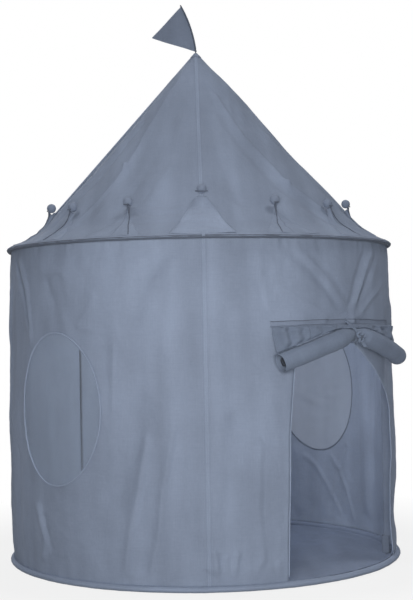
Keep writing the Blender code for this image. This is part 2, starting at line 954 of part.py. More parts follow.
def door_roll():
    """The door flap rolled up from its hem, pinched by the tie and open at both ends."""
    places = [-1 + 2 * n / (roll_rings - 1) for n in range(roll_rings)]
    points = [roll_spot(t) for t in places]
    radii = [roll_size(t) / roll_radius for t in places]
    made = as_mesh(tube("door_roll", points, roll_radius, "cloth", 3, radii=radii), "cloth")
    for name, tip, behind in (("left", points[0], points[1]), ("right", points[-1], points[-2])):
        way = (tip - behind).normalized()
        inner = tip - way * roll_bore_depth
        bore = rod_between(
            "roll_bore_" + name, inner, tip + way * overrun, roll_bore, "cloth", 10, cutters
        )
        cut(made, bore)


def door_flap():
    """The part of the flap that is still unrolled, from the band down to the roll."""
    def place(u, v):
        t = 2 * u - 1
        turn = flap_turns[0] + (flap_turns[1] - flap_turns[0]) * u
        height = band_low - gap
        head = spot(wall_radius(height) + thin_cloth + 2 * gap, turn, height)
        centre, along, out, up = roll_frame(t * 0.97)
        away = max(roll_size(t * 0.97), tie_outside()) + 4 * gap
        foot = centre + (up * sin(radians(120)) + out * cos(radians(120))) * away
        sag = out * (-0.25 * (head - foot).length * v * (1 - v))
        return foot + (head - foot) * v + sag

    sheet("door_flap", 14, 3, place, thin_cloth)


def ribbon(name, path, across, width):
    """A flat ribbon along a path, as a cutter that is joined to the tie."""
    shape = bmesh.new()
    rows = [
        [shape.verts.new(point + side * (width / 2 * way)) for way in (-1, 1)]
        for point, side in zip(path, across)
    ]
    for low, high in zip(rows, rows[1:]):
        shape.faces.new((low[0], low[1], high[1], high[0]))
    made = from_bmesh(name, shape, "cloth", cutters)
    wall = made.modifiers.new("Thickness", "SOLIDIFY")
    wall.thickness = thin_cloth
    wall.offset = 0
    return made


def door_tie():
    """A ribbon sewn to the door band, wound once round the roll and knotted in front."""
    centre, along, out, up = roll_frame(0)
    ring = bmesh.new()
    bmesh.ops.create_cone(
        ring,
        cap_ends=True,
        segments=12,
        radius1=tie_outside(),
        radius2=tie_outside(),
        depth=tie_width,
        matrix=Matrix.Translation(centre) @ along.to_track_quat("Z", "Y").to_matrix().to_4x4(),
    )
    made = from_bmesh("door_tie", ring, "cloth")
    aim = (out * cos(radians(knot_angle)) + up * sin(radians(knot_angle))).normalized()
    knot = centre + aim * (tie_outside() + knot_radius * 0.7)
    shape = bmesh.new()
    bmesh.ops.create_icosphere(
        shape, subdivisions=2, radius=knot_radius, matrix=Matrix.Translation(knot)
    )
    cut(made, from_bmesh("tie_knot", shape, "cloth", cutters), "UNION")
    for number, (way, reach) in enumerate(((1, 1.0), (-1, 0.75))):
        path = []
        for n in range(5):
            run = tail_length * reach * n / 4
            path.append(knot + along * (way * run * 0.55) - up * (run * 0.8) + out * (run * 0.1))
        side = (out * 0.5 + up * 0.25 + along * (0.8 * way)).normalized()
        tail = ribbon("tie_tail_" + str(number + 1), path, [side] * 5, tie_width * 0.7)
        cut(made, tail, "UNION")
    stitched = spot(
        wall_radius(band_low) + 2 * thin_cloth + 5 * gap, roll_turns[1], band_low + band_height * 0.7
    )
    over = centre + up * (tie_outside() * 1.05)
    level = spot(1, roll_turns[1] + panel_turn, 0)
    strap = ribbon("tie_strap", [stitched, over - up * thin_cloth], [level, along], tie_width * 0.8)
    cut(made, strap, "UNION")
    bore = rod_between(
        "tie_bore",
        centre - along * (tie_width / 2 + overrun),
        centre + along * (tie_width / 2 + overrun),
        tie_outside() - thin_cloth,
        "cloth",
        12,
        cutters,
    )
    cut(made, bore)


for old in list(bpy.data.objects):
    bpy.data.objects.remove(old)
tent = collection("play_tent")
cutters = collection("cutters")

sleeve("base_sleeve", base_radius, base_tube, base_tube)
# The base hoop lies on its sleeve, and the eave hoop carries its sleeve
hoop("base", base_radius, sleeve_cloth + base_rod + gap, base_rod)
sleeve("eave_sleeve", eave_radius, eave_height, eave_tube)
hoop("eave", eave_radius, eave_height + eave_tube - sleeve_cloth - eave_rod - gap, eave_rod)

floor_radius = base_radius - base_tube * corner_share - floor_cloth - 2 * gap
floor_shape = bmesh.new()
bmesh.ops.create_cone(
    floor_shape,
    cap_ends=True,
    segments=hoop_steps,
    radius1=floor_radius,
    radius2=floor_radius,
    depth=floor_cloth,
    matrix=Matrix.Translation((0, 0, floor_cloth / 2)),
)
from_bmesh("floor", floor_shape, "cloth")

wall_left = sheet(
    "wall_front_left", wall_columns, wall_rows, wall_place(-panel_turn, left_fold_shares), cloth
)
sheet(
    "wall_front_right",
    sum(door_column_counts),
    door_rows + len(above_door_shares) - 1,
    door_place,
    cloth,
    leave_out=in_doorway,
)
wall_right = sheet(
    "wall_back_right", wall_columns, wall_rows, wall_place(panel_turn, right_fold_shares), cloth
)
sheet("wall_back_left", wall_columns, wall_rows, wall_place(2 * panel_turn, back_fold_shares), cloth)
window("left", wall_left, window_turns[0])
window("back", wall_right, window_turns[1])
door_binding()
door_band()

for number, label in enumerate(("front_right", "back_right", "back_left", "front_left")):
    sheet("roof_" + label, roof_columns, flare_rows + cone_rows, roof_place(number * panel_turn), cloth)
roof_cap()
crown_trim()
crown_balls()

uprights()
hub()
flag()
door_roll()
door_flap()
door_tie()
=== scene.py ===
from math import atan2, cos, degrees, hypot, pi, radians, sin

import bmesh
import bpy
import numpy as np
from mathutils import Matrix, Vector


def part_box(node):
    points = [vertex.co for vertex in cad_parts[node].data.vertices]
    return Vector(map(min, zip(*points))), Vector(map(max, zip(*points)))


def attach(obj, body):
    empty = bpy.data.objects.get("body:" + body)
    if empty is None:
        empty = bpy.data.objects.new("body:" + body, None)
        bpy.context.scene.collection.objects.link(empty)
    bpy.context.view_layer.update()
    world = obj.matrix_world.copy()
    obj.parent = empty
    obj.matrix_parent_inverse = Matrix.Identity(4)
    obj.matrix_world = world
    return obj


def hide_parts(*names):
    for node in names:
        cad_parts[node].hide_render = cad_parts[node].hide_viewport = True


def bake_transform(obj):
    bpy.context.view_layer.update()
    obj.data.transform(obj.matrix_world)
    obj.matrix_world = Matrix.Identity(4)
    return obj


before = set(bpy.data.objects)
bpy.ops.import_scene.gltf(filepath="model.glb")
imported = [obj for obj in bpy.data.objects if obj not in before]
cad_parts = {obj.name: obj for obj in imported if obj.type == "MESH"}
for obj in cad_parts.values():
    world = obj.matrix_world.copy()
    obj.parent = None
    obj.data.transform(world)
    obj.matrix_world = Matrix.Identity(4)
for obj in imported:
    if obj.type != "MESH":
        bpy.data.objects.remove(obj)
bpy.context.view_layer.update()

bpy.context.scene.view_settings.view_transform = "Standard"


# Camera: a level eye a little above the middle of the wall, almost square to the front seam and
# leaning a hair, as the tent was photographed
def spot(radius, turn, height):
    """A point at a turn in degrees from the front seam, towards the doorway."""
    return Vector((radius * sin(radians(turn)), -radius * cos(radians(turn)), height))


eye_away = 3.3567
eye_turn = -1.5
eye_height = 0.6068
eye_aside = 0.0175
eye_lift = 0.0185
eye_lean = 0.0175
eye_lens = 75.85
eye = bpy.data.cameras.new("eye")
eye.lens = eye_lens
eye.sensor_width = 36
camera = bpy.data.objects.new("eye", eye)
bpy.context.scene.collection.objects.link(camera)
level = spot(1, eye_turn + 90, 0)
ahead = (-spot(cos(eye_lift), eye_turn, 0) + Vector((0, 0, sin(eye_lift)))).normalized()
rise = level.cross(ahead)
right = level * cos(eye_lean) - rise * sin(eye_lean)
up = level * sin(eye_lean) + rise * cos(eye_lean)
eye_spot = spot(eye_away, eye_turn, eye_height) + level * eye_aside
camera.matrix_world = Matrix.Translation(eye_spot) @ Matrix((right, up, -ahead)).transposed().to_4x4()
bpy.context.scene.camera = camera


# Studio: white paper under and behind the tent, a soft lamp in front, two overhead, one behind
# and a small one inside, and a dim even fill from all round
class Number:
    """A shading value that adds and multiplies like a plain number."""

    def __init__(self, finish, socket):
        self.finish = finish
        self.socket = socket

    def of(self, operation, *others):
        node = self.finish.tree.nodes.new("ShaderNodeMath")
        node.operation = operation
        for place, value in enumerate((self, *others)):
            self.finish.feed(node.inputs[place], value)
        return Number(self.finish, node.outputs[0])

    def __add__(self, other):
        return self.of("ADD", other)

    __radd__ = __add__

    def __sub__(self, other):
        return self.of("SUBTRACT", other)

    def __rsub__(self, other):
        return (self * -1.0).of("ADD", other)

    def __mul__(self, other):
        return self.of("MULTIPLY", other)

    __rmul__ = __mul__

    def __truediv__(self, other):
        return self.of("DIVIDE", other)

    def __abs__(self):
        return self.of("ABSOLUTE")

    def wave(self):
        return self.of("SINE")

    def rest(self):
        return self.of("FRACT")

    def above(self, other):
        return self.of("GREATER_THAN", other)

    def held(self, low=0.0, high=1.0):
        return self.of("MAXIMUM", low).of("MINIMUM", high)


class Finish:
    """One material and its nodes."""

    def __init__(self, holder):
        self.holder = holder
        holder.use_nodes = True
        self.tree = holder.node_tree
        self.tree.nodes.clear()

    def feed(self, socket, value):
        if isinstance(value, Number):
            value = value.socket
        if isinstance(value, bpy.types.NodeSocket):
            self.tree.links.new(value, socket)
        else:
            socket.default_value = value

    def node(self, kind, settings=None, **values):
        made = self.tree.nodes.new("ShaderNode" + kind)
        for name, value in (settings or {}).items():
            setattr(made, name, value)
        for name, value in values.items():
            self.feed(made.inputs[name.replace("_", " ")], value)
        return made

    def number(self, socket):
        return Number(self, socket)

    def parts(self, socket):
        """The three numbers of a place."""
        return [self.number(part) for part in self.node("SeparateXYZ", Vector=socket).outputs]

    def written(self, name):
        """A number written on the corners of a piece."""
        return self.number(self.node("Attribute", {"attribute_name": name}).outputs["Fac"])

    def mixed(self, share, first, second):
        """Two shaders, with a share of the second."""
        made = self.tree.nodes.new("ShaderNodeMixShader")
        for place, value in enumerate((share, first, second)):
            self.feed(made.inputs[place], value)
        return made.outputs[0]

    def tint(self, share, low, high):
        """A colour between low and high."""
        made = self.tree.nodes.new("ShaderNodeMix")
        made.data_type = "RGBA"
        self.feed(made.inputs[0], share)
        self.feed(made.inputs[6], low)
        self.feed(made.inputs[7], high)
        return made.outputs[2]

    def noise(self, across, along, scale, detail=2.0, height=0.0):
        """Cloudy values from 0 to 1 over a pair of lengths in metres."""
        place = self.node("CombineXYZ", X=across, Y=along, Z=height)
        made = self.node("TexNoise", Vector=place.outputs[0], Scale=scale, Detail=detail)
        return self.number(made.outputs[0])

    def close(self, shader):
        last = self.node("OutputMaterial" if isinstance(self.holder, bpy.types.Material) else "OutputWorld")
        self.tree.links.new(shader, last.inputs[0])


def papered(finish, own):
    """The finish's own shader, but plain white to the camera, and a dim blue through a net that is painted
    shade.
    """
    ray = finish.node("LightPath")
    straight = finish.number(ray.outputs["Is Camera Ray"])
    netted = straight * finish.number(ray.outputs["Transparent Depth"]).held()
    shiny = finish.number(ray.outputs["Is Glossy Ray"]) + finish.number(ray.outputs["Is Transmission Ray"])
    white_share = (straight - netted + shiny).held() * (1 - finish.shade)
    for colour, share in (((1, 1, 1, 1), white_share), (painted_shade_behind_net, netted)):
        glow = finish.node(finish.glow, Color=colour, Strength=1.0)
        own = finish.mixed(share, own, glow.outputs[0])
    finish.close(own)


fill_light = 0.070
# the dim blue glow seen through a net is painted shade, in place of the white behind it
painted_shade_behind_net = (0.235, 0.255, 0.31, 1)
paper_radius = 4.0
paper_sink = 0.0006
shade_from = 0.62
shade_until = 1.25
paper_shade = 0.16
lamp_aim = Vector((0, 0, 0.70))
sky = Finish(bpy.data.worlds.new("white_room"))
bpy.context.scene.world = sky.holder
sky.glow, sky.shade = "Background", 0.0
papered(sky, sky.node("Background", Color=(0.72, 0.90, 1.32, 1), Strength=fill_light).outputs[0])

bpy.ops.object.select_all(action="DESELECT")
bpy.ops.mesh.primitive_circle_add(
    vertices=96, radius=paper_radius, fill_type="NGON", location=(0, 0, -paper_sink)
)
paper = bpy.context.object
paper.name = "studio_paper"
paper_finish = Finish(bpy.data.materials.new("white_paper"))
place = paper_finish.node("TexCoord").outputs["Object"]
middle_off = paper_finish.node("VectorMath", {"operation": "LENGTH"}, Vector=place)
away = paper_finish.number(middle_off.outputs["Value"])
near = 1 - ((away - shade_from) / (shade_until - shade_from)).held()
paper_finish.glow, paper_finish.shade = "Emission", near * paper_shade
papered(paper_finish, paper_finish.node("BsdfDiffuse", Color=(0.40, 0.40, 0.40, 1)).outputs[0])
paper.data.materials.append(paper_finish.holder)


def hang_lamp(name, kind, place, power):
    """A lamp at a place in the studio, and the object that holds it."""
    lamp = bpy.data.lights.new(name, kind)
    lamp.energy = power
    holder = bpy.data.objects.new(name, lamp)
    bpy.context.scene.collection.objects.link(holder)
    holder.location = place
    return lamp, holder


for name, turn, away, height, wide, power in (
    ("front_lamp", -2.0, 2.8, 0.72, 0.8, 46.5),
    ("top_left_lamp", -95.0, 1.9, 4.60, 1.4, 46.0),
    ("top_right_lamp", 80.0, 1.9, 4.60, 1.4, 52.0),
    ("back_lamp", 184.0, 4.0, 1.90, 2.2, 84.0),
):
    lamp, holder = hang_lamp(name, "AREA", spot(away, turn, height), power)
    lamp.shape = "DISK"
    lamp.size = wide
    holder.rotation_euler = (lamp_aim - holder.location).to_track_quat("-Z", "Y").to_euler()
lamp, holder = hang_lamp("cabin_lamp", "POINT", (-0.02, 0.24, 0.76), 6.6)
lamp.shadow_soft_size = 0.20


# Wall: four panels of slate-blue cotton canvas, cut and sewn edge to edge into a drum between
# the two hoop sleeves. The left one has an oval window cut out of it, and the right one the
# doorway. The cloth hangs in soft folds, pulled towards the tied flap
base_radius = 0.4985
wall_foot = 0.0213
wall_head = 0.7947
wall_foot_radius = 0.4990
wall_head_radius = 0.4932
wall_bulge = 0.0095
wall_thick = 0.0008
wall_step = 0.0052
seam_turns = (-90, 0, 90, 180)
door_head = 0.588
door_wide = 0.39
left_jamb = ((0.0, 21.2), (0.56, 22.2), (0.84, 23.7), (1.0, 24.5))
right_jamb = ((0.0, 69.5), (0.64, 69.5), (0.72, 65.5), (0.78, 59.5), (0.87, 51.8), (0.94, 45.6), (1.0, 43.0))
band_low = 0.598
band_height = 0.014
band_turns = (17.3, 68.9)
window_half_width = 0.1367
window_half_height = 0.180
window_height = 0.410
window_turns = (-44.5, 136.0)
slate = (0.238, 0.281, 0.367)


def soft(low, high, value):
    """A smooth step from 0 at the low value to 1 at the high one."""
    share = np.clip((value - low) / (high - low), 0, 1)
    return share * share * (3 - 2 * share)


def turns_from(turn, middle):
    """How many degrees a turn lies from another, the short way round."""
    return np.abs((turn - middle + 180) % 360 - 180)


def rumple(x, y, size, seed):
    """A smooth random rise and fall between -1 and 1, whose humps are about one size apart."""
    chance = np.random.default_rng(seed).uniform(-1, 1, (128, 128))
    across, along = x / size + 64.0, y / size + 64.0
    i, j = np.floor(across).astype(int), np.floor(along).astype(int)
    f, g = across - i, along - j
    f, g = f * f * (3 - 2 * f), g * g * (3 - 2 * g)
    i, j, right_i, up_j = i % 128, j % 128, (i + 1) % 128, (j + 1) % 128
    low = chance[j, i] * (1 - f) + chance[j, right_i] * f
    high = chance[up_j, i] * (1 - f) + chance[up_j, right_i] * f
    return low * (1 - g) + high * g


def fold_along(x, y, steep, wide, first, last, line):
    """The lift of one fold along a line of points, wide to each side. A fold may be steep on its
    left or right side, and goes from its first depth to its last."""
    best = np.full(x.shape, 1e9)
    lift = np.zeros(x.shape)
    lengths = [hypot(b[0] - a[0], b[1] - a[1]) for a, b in zip(line, line[1:])]
    total = sum(lengths)
    done = 0.0
    for a, b, length in zip(line, line[1:], lengths):
        way = ((b[0] - a[0]) / length, (b[1] - a[1]) / length)
        run = np.clip((x - a[0]) * way[0] + (y - a[1]) * way[1], 0, length)
        off_x, off_y = x - a[0] - way[0] * run, y - a[1] - way[1] * run
        off = np.hypot(off_x, off_y)
        to_right = (off_x * way[1] - off_y * way[0]) > 0
        scale = np.full(x.shape, wide)
        if steep:
            scale = np.where(to_right == (steep == "right"), wide * 0.42, wide)
        share = (done + run) / total
        here = (first + (last - first) * share) * np.exp(-((off / scale) ** 2))
        lift = np.where(off < best, here, lift)
        best = np.minimum(best, off)
        done += length
    return lift


fold_share = 1.7
waist_depth = 0.0055
foot_aside = 0.0040

# Each wall fold: its steep side, its width and its two depths in millimetres, then its line as
# turns and heights
wall_folds = (
    ("right", 11, -4.2, -3.0, (-70, 0.777), (-63, 0.680), (-58.5, 0.606)),
    ("left", 13, 4.5, 2.0, (-64.7, 0.779), (-60.1, 0.704), (-56, 0.572)),
    (None, 10, 1.6, 1.8, (-49.9, 0.735), (-44.5, 0.738), (-41.2, 0.728)),
    (None, 12, -1.8, -0.6, (-48.4, 0.713), (-45.6, 0.665), (-44.3, 0.601)),
    (None, 12, -1.8, -0.6, (-42.4, 0.723), (-40.8, 0.664), (-39.3, 0.612)),
    (None, 6, 1.6, 0.3, (-35.8, 0.610), (-31.4, 0.655)),
    (None, 6, 1.6, 0.2, (-35.8, 0.604), (-26.5, 0.590)),
    (None, 20, -4.6, -2.0, (-10, 0.772), (-15.5, 0.709), (-18.9, 0.618)),
    ("left", 7, 1.8, 1.6, (-24.4, 0.554), (-25, 0.413)),
    (None, 26, -2.6, -4.2, (-17.4, 0.434), (-19.6, 0.320), (-24.5, 0.205)),
    ("left", 14, 4.5, 4.2, (-15.2, 0.344), (-17.7, 0.230), (-20.2, 0.139), (-21.8, 0.038)),
    ("left", 11, 3.2, 3.2, (-8.3, 0.367), (-11.3, 0.232), (-12.6, 0.141), (-15.1, 0.041)),
    (None, 12, 3.2, 2.6, (-53.2, 0.171), (-49.4, 0.094), (-51.2, 0.058)),
    (None, 8, -2.8, -1.6, (-50.3, 0.150), (-47.6, 0.080)),
    ("left", 22, 3.8, 2.0, (-76, 0.700), (-78, 0.420), (-80, 0.150)),
    (None, 26, -3.0, -2.0, (-68, 0.300), (-66, 0.060)),
    ("right", 13, 3.2, 2.0, (14.5, 0.789), (14.7, 0.721), (16.8, 0.646)),
    (None, 21, -2.6, -3.6, (6, 0.625), (6.7, 0.524), (7.4, 0.388)),
    (None, 21, -3.6, -2.2, (7.4, 0.388), (7.2, 0.316), (5.4, 0.222), (4.7, 0.150), (8.1, 0.055)),
    ("right", 12, 2.2, 3.6, (26.7, 0.766), (34.5, 0.704), (40.5, 0.651), (43.6, 0.606)),
    (None, 13, -2.4, -2.6, (23.8, 0.770), (31.2, 0.712), (37.0, 0.664), (41.0, 0.628)),
    (None, 10, -2.0, -2.8, (30.5, 0.760), (38.0, 0.706), (42.0, 0.662), (44.0, 0.625)),
    (None, 9, 2.0, 3.0, (20.4, 0.682), (28.4, 0.645), (33.9, 0.615)),
    ("right", 11, 2.4, 3.8, (57.3, 0.779), (52.1, 0.726), (47.1, 0.656), (44.3, 0.606)),
    (None, 9, -2.6, -2.8, (53, 0.773), (47.7, 0.706), (45.0, 0.651)),
    (None, 11, -2.2, -2.6, (60.2, 0.766), (54.1, 0.703), (47.9, 0.641)),
    (None, 8, 1.4, 2.4, (65.9, 0.700), (54.7, 0.656), (47.6, 0.615)),
    (None, 6, 1.8, 1.2, (13.1, 0.060), (12.4, 0.030)),
    (None, 6, 1.8, 1.2, (16.1, 0.052), (16.6, 0.026)),
    (None, 7, 1.8, 1.2, (18.4, 0.058), (19.2, 0.028)),
    (None, 5, -1.6, -1.2, (-1.5, 0.048), (3, 0.024)),
    ("right", 7, 4.4, 3.0, (1.2, 0.092), (2.2, 0.028)),
    (None, 4, 2.6, 1.8, (4.4, 0.078), (4.7, 0.025)),
    ("left", 7, 4.4, 3.0, (7.6, 0.086), (6.6, 0.026)),
    (None, 4, -2.2, -1.8, (3.3, 0.082), (3.6, 0.030)),
    ("left", 15, 2.8, 2.4, (13.8, 0.330), (13.2, 0.180), (14.2, 0.070)),
    (None, 16, 2.0, 1.4, (78, 0.640), (79, 0.400), (78.5, 0.200)),
    ("left", 22, 4.4, 2.2, (104, 0.740), (107, 0.420), (108, 0.180)),
    (None, 20, -3.8, -2.4, (118, 0.760), (115, 0.640), (112, 0.080)),
    ("right", 24, 4.8, 2.6, (160, 0.720), (156, 0.400), (152, 0.110)),
    (None, 22, -3.6, -2.8, (172, 0.740), (169, 0.420), (166, 0.110)),
    (None, 9, 2.2, 1.0, (148, 0.640), (156, 0.690), (163, 0.770)),
    (None, 9, -2.2, -1.2, (122, 0.640), (116, 0.700), (109, 0.775)),
    ("right", 12, 3.0, 2.2, (124, 0.240), (127, 0.170), (131, 0.050)),
    ("left", 12, 3.0, 2.0, (148, 0.245), (146, 0.150), (147, 0.045)),
    ("right", 10, -2.6, -1.8, (141, 0.212), (137, 0.185), (132, 0.130), (127, 0.058)),
    ("right", 9, -2.2, -1.6, (131, 0.222), (127, 0.180), (123, 0.120), (120, 0.045)),
    ("left", 24, 4.6, 2.4, (196, 0.740), (200, 0.460), (204, 0.140)),
    (None, 24, -4.2, -3.0, (216, 0.770), (213, 0.400), (210, 0.080)),
    ("right", 26, 5.2, 2.6, (236, 0.720), (241, 0.420), (246, 0.110)),
    (None, 22, -3.8, -2.4, (256, 0.740), (254, 0.480), (252, 0.260)),
    (None, 10, 2.4, 1.2, (226, 0.780), (222, 0.700), (215, 0.630)),
    ("left", 10, 2.6, 1.8, (190, 0.180), (194, 0.110), (193, 0.050)),
    ("right", 10, 2.6, 1.6, (262, 0.200), (259, 0.120), (261, 0.050)),
)


def wall_line(height):
    """The radius of the wall without its folds."""
    share = np.clip((height - wall_foot) / (wall_head - wall_foot), 0, 1)
    line = wall_foot_radius + (wall_head_radius - wall_foot_radius) * share
    return line + wall_bulge * np.maximum(0, np.sin(pi * share)) ** 0.6


def from_window(turn, height):
    """The distance outside the nearer window's edge, in metres, and the bearing round it."""
    nearest = np.full(turn.shape, 9.0)
    bearing = np.zeros(turn.shape)
    for middle in window_turns:
        across = np.sin(np.radians(turn - middle)) * base_radius
        across = np.where(np.cos(np.radians(turn - middle)) > 0, across, 9.0)
        tall = height - window_height
        ring = np.hypot(across / window_half_width, tall / window_half_height)
        off = (ring - 1) * np.hypot(across, tall) / np.maximum(ring, 1e-6)
        bearing = np.where(off < nearest, np.arctan2(tall, across), bearing)
        nearest = np.minimum(nearest, off)
    return nearest, bearing


def wall_out(turn, height):
    """The radius of the wall's outside, folds and all."""
    turn, height = np.broadcast_arrays(np.asarray(turn, float), np.asarray(height, float))
    x = np.radians(turn) * base_radius
    lift = np.zeros(x.shape)
    for steep, wide, first, last, *line in wall_folds:
        places = [(radians(t) * base_radius, h) for t, h in line]
        lift += fold_along(x, height, steep, wide / 1000, first / 1000, last / 1000, places)
    lift *= fold_share
    lift += 0.0030 * rumple(x, height, 0.125, 3) + 0.0016 * rumple(x, height, 0.055, 4)
    lift += 0.0036 * rumple(x, height * 0.20, 0.050, 13) * soft(-0.6, 0.5, rumple(x, height, 0.24, 14))
    lean = rumple(x, height, 0.20, 5) * 0.02
    lift += 0.0013 * rumple(x + lean, height * 0.45, 0.023, 6) * soft(-0.3, 0.8, rumple(x, height, 0.13, 7))
    lift += 0.0004 * rumple(x * 0.6 + height * 0.5, height - x * 0.4, 0.012, 8)
    off, bearing = from_window(turn, height)
    lift *= soft(0.002, 0.045, off)
    near_window = np.exp(-np.maximum(off, 0) / 0.016) * (off < 0.08)
    lift += 0.0007 * rumple(bearing * 0.16, off * 0.3, 0.009, 9) * near_window
    below, above = wall_head - height, height - wall_foot
    lift *= soft(-0.002, 0.050, below) * soft(-0.002, 0.040, above)
    strong = 1 + 1.1 * np.exp(-(((turn - 21) / 7) ** 2))
    lift += 0.0011 * strong * rumple(x, below * 0.25, 0.0125, 10) * np.exp(-below / 0.034)
    lift += 0.0008 * rumple(x, above * 0.3, 0.017, 11) * np.exp(-above / 0.030)
    side = np.abs((turn + 45) % 90 - 45) * radians(base_radius)
    lift += 0.0007 * rumple(height, side * 0.4, 0.014, 12) * np.exp(-side / 0.018)
    lift *= soft(0, 0.030, turns_from(turn, seam_turns[0]) * radians(base_radius))
    waist = np.exp(-(((np.abs(turn) - 88) / 26) ** 2)) * soft(0.0, 0.12, above) * soft(0.0, 0.12, below)
    foot = foot_aside * np.sin(np.radians(turn)) * (1 - soft(0.0, 0.10, above))
    return wall_line(height) + lift - waist_depth * waist + foot


def lay_cloth(name, points, across, along, thick, finish, keep=None, seam=None, run=None, join=False):
    """One sheet from a grid of points, whose outside faces away from the tent. across and along
    are its threads' places in metres, and seam and run the distances off and along a stitched
    edge. keep tells which of its squares stay."""
    rows, columns = points.shape[:2]
    numbers = np.arange(rows * columns).reshape(rows, columns)
    corners = np.stack([numbers[:-1, :-1], numbers[:-1, 1:], numbers[1:, 1:], numbers[1:, :-1]], axis=-1)
    if keep is not None:
        corners = corners[keep]
    corners = corners.reshape(-1, 4)
    used, corners = np.unique(corners, return_inverse=True)
    corners = corners.reshape(-1, 4)
    mesh = bpy.data.meshes.new(name)
    mesh.vertices.add(len(used))
    mesh.vertices.foreach_set("co", points.reshape(-1, 3)[used].astype(np.float32).ravel())
    mesh.loops.add(corners.size)
    mesh.polygons.add(len(corners))
    mesh.loops.foreach_set("vertex_index", corners.ravel().astype(np.int32))
    mesh.polygons.foreach_set("loop_start", np.arange(0, corners.size, 4, dtype=np.int32))
    mesh.update(calc_edges=True)
    cut = mesh.uv_layers.new(name="cut")
    flat = np.stack([across.reshape(-1)[used], along.reshape(-1)[used]], axis=-1)
    cut.data.foreach_set("uv", flat[corners.ravel()].astype(np.float32).ravel())
    for label, values in (("off_seam", seam), ("along_seam", run)):
        if values is not None:
            held = mesh.attributes.new(label, "FLOAT", "POINT")
            held.data.foreach_set("value", values.reshape(-1)[used].astype(np.float32))
    mesh.validate()
    made = bpy.data.objects.new(name, mesh)
    bpy.context.scene.collection.objects.link(made)
    mesh.materials.append(finish)
    mesh.polygons.foreach_set("use_smooth", np.ones(len(mesh.polygons), bool))
    if join:
        shape = bmesh.new()
        shape.from_mesh(mesh)
        bmesh.ops.remove_doubles(shape, verts=shape.verts, dist=1e-6)
        shape.to_mesh(mesh)
        shape.free()
    if thick:
        wall = made.modifiers.new("Thickness", "SOLIDIFY")
        wall.thickness = thick
        wall.offset = -1
        bpy.ops.object.select_all(action="DESELECT")
        bpy.context.view_layer.objects.active = made
        made.select_set(True)
        bpy.ops.object.modifier_apply(modifier="Thickness")
    return made


def round_points(radius, turn, height):
    """A grid of points from their radii, turns and heights."""
    turn = np.radians(turn)
    return np.stack(np.broadcast_arrays(radius * np.sin(turn), -radius * np.cos(turn), height), axis=-1)


canvas_rough = 0.86
thread_pitch = 0.00075
stitch_pitch = 0.0034
seam_rows = (0.0022, 0.0078)


def dyed(colour, depth):
    """A colour made deeper or paler."""
    return tuple(c * depth for c in colour[:3]) + (1,)


def canvas(name, depth=1.0, dye=slate, rows=None, crumple=1.0, sheer=0.035, edge=0.35):
    """Plain woven cotton in a depth of a dye: crossing threads, slubs, a cloudiness and long streaks that
    also paint in the light and shade of soft folds, small creases and, where it is seamed, rows of
    lock stitch beside the seam, whose grooves are darkened with painted shade."""
    colour = dyed(dye, depth)
    finish = Finish(bpy.data.materials.new(name))
    u, v, _ = finish.parts(finish.node("UVMap", {"uv_map": "cut"}).outputs[0])
    warp, weft = (u * (pi / thread_pitch)).wave(), (v * (pi / thread_pitch)).wave()
    over = (warp * weft).above(0.0)
    thread = abs(warp) * over + abs(weft) * (1 - over)
    slub = finish.noise(u * 900.0, v * 22.0, 1.0, 1.0) + finish.noise(u * 22.0, v * 900.0, 1.0, 1.0, 7.0)
    cloud = finish.noise(u, v, 7.0, 4.0, 3.0)
    speck = finish.noise(u, v, 160.0, 3.0, 5.0)
    streak = finish.noise(u, v * 0.12, 17.0, 1.5, 13.0)
    # cloud and streak also paint in the light and shade of soft folds
    shade = 0.5 + (cloud - 0.5) * 0.9 + (streak - 0.5) * 1.3
    shade = shade + (slub - 1.0) * 0.36 + (speck - 0.5) * 0.3 + (thread - 0.6) * 0.12
    crease = abs(finish.noise(u, v * 0.7, 17.0, 3.0, 9.0) - 0.5)
    fine = abs(finish.noise(u * 1.4, v * 0.8, 42.0, 2.0, 11.0) - 0.5)
    height = thread * 0.00006 + slub * 0.00005 + crease * (0.0030 * crumple) + fine * (0.0009 * crumple)
    if rows is not None:
        off = finish.written("off_seam")
        dash = ((0.40 - abs((finish.written("along_seam") / stitch_pitch).rest() - 0.5)) * 14.0).held()
        thread_row, groove = 0.0, 0.0
        for row in rows:
            thread_row = thread_row + (1 - abs(off - row) / 0.0007).held() * dash
            groove = groove + (1 - abs(off - row) / 0.0022).held()
        # the darkening along each groove is painted shade; its dip in height is a real bump
        shade = shade + thread_row * 0.75 - groove * 0.22
        height = height + thread_row * 0.00030 - groove * 0.00042
        # lighter near the seam line by edge; a negative edge darkens it there instead, as painted shade
        near_seam = (1 - off / 0.0016).held()
        shade = shade + near_seam * edge
    bump = finish.node("Bump", Strength=1.0, Distance=1.0, Height=height)
    skin = finish.node(
        "BsdfPrincipled",
        Base_Color=finish.tint(shade.held(), dyed(colour, 0.80), dyed(colour, 1.20)),
        Roughness=(canvas_rough + (cloud - 0.5) * 0.10 - thread * 0.04).held(0.05, 1.0),
        Normal=bump.outputs[0],
        Sheen_Weight=0.12,
        Sheen_Roughness=0.55,
        Sheen_Tint=(0.72, 0.80, 0.95, 1),
        Specular_IOR_Level=0.22,
    )
    through = finish.node("BsdfTranslucent", Color=dyed(colour, 1.6))
    finish.close(finish.mixed(sheer, skin.outputs[0], through.outputs[0]))
    return finish.holder


wall_canvas = canvas("slate_canvas", rows=seam_rows)
seam_gap = 0.00015
seam_turn = degrees(seam_gap / base_radius)
wall_low = 0.0125
wall_high = 0.8008
wall_heights = np.linspace(wall_low, wall_high, 1 + round((wall_high - wall_low) / wall_step))


def from_sides(across):
    """The distance from a cloth's nearer side."""
    return np.minimum(across - across.min(), across.max() - across)


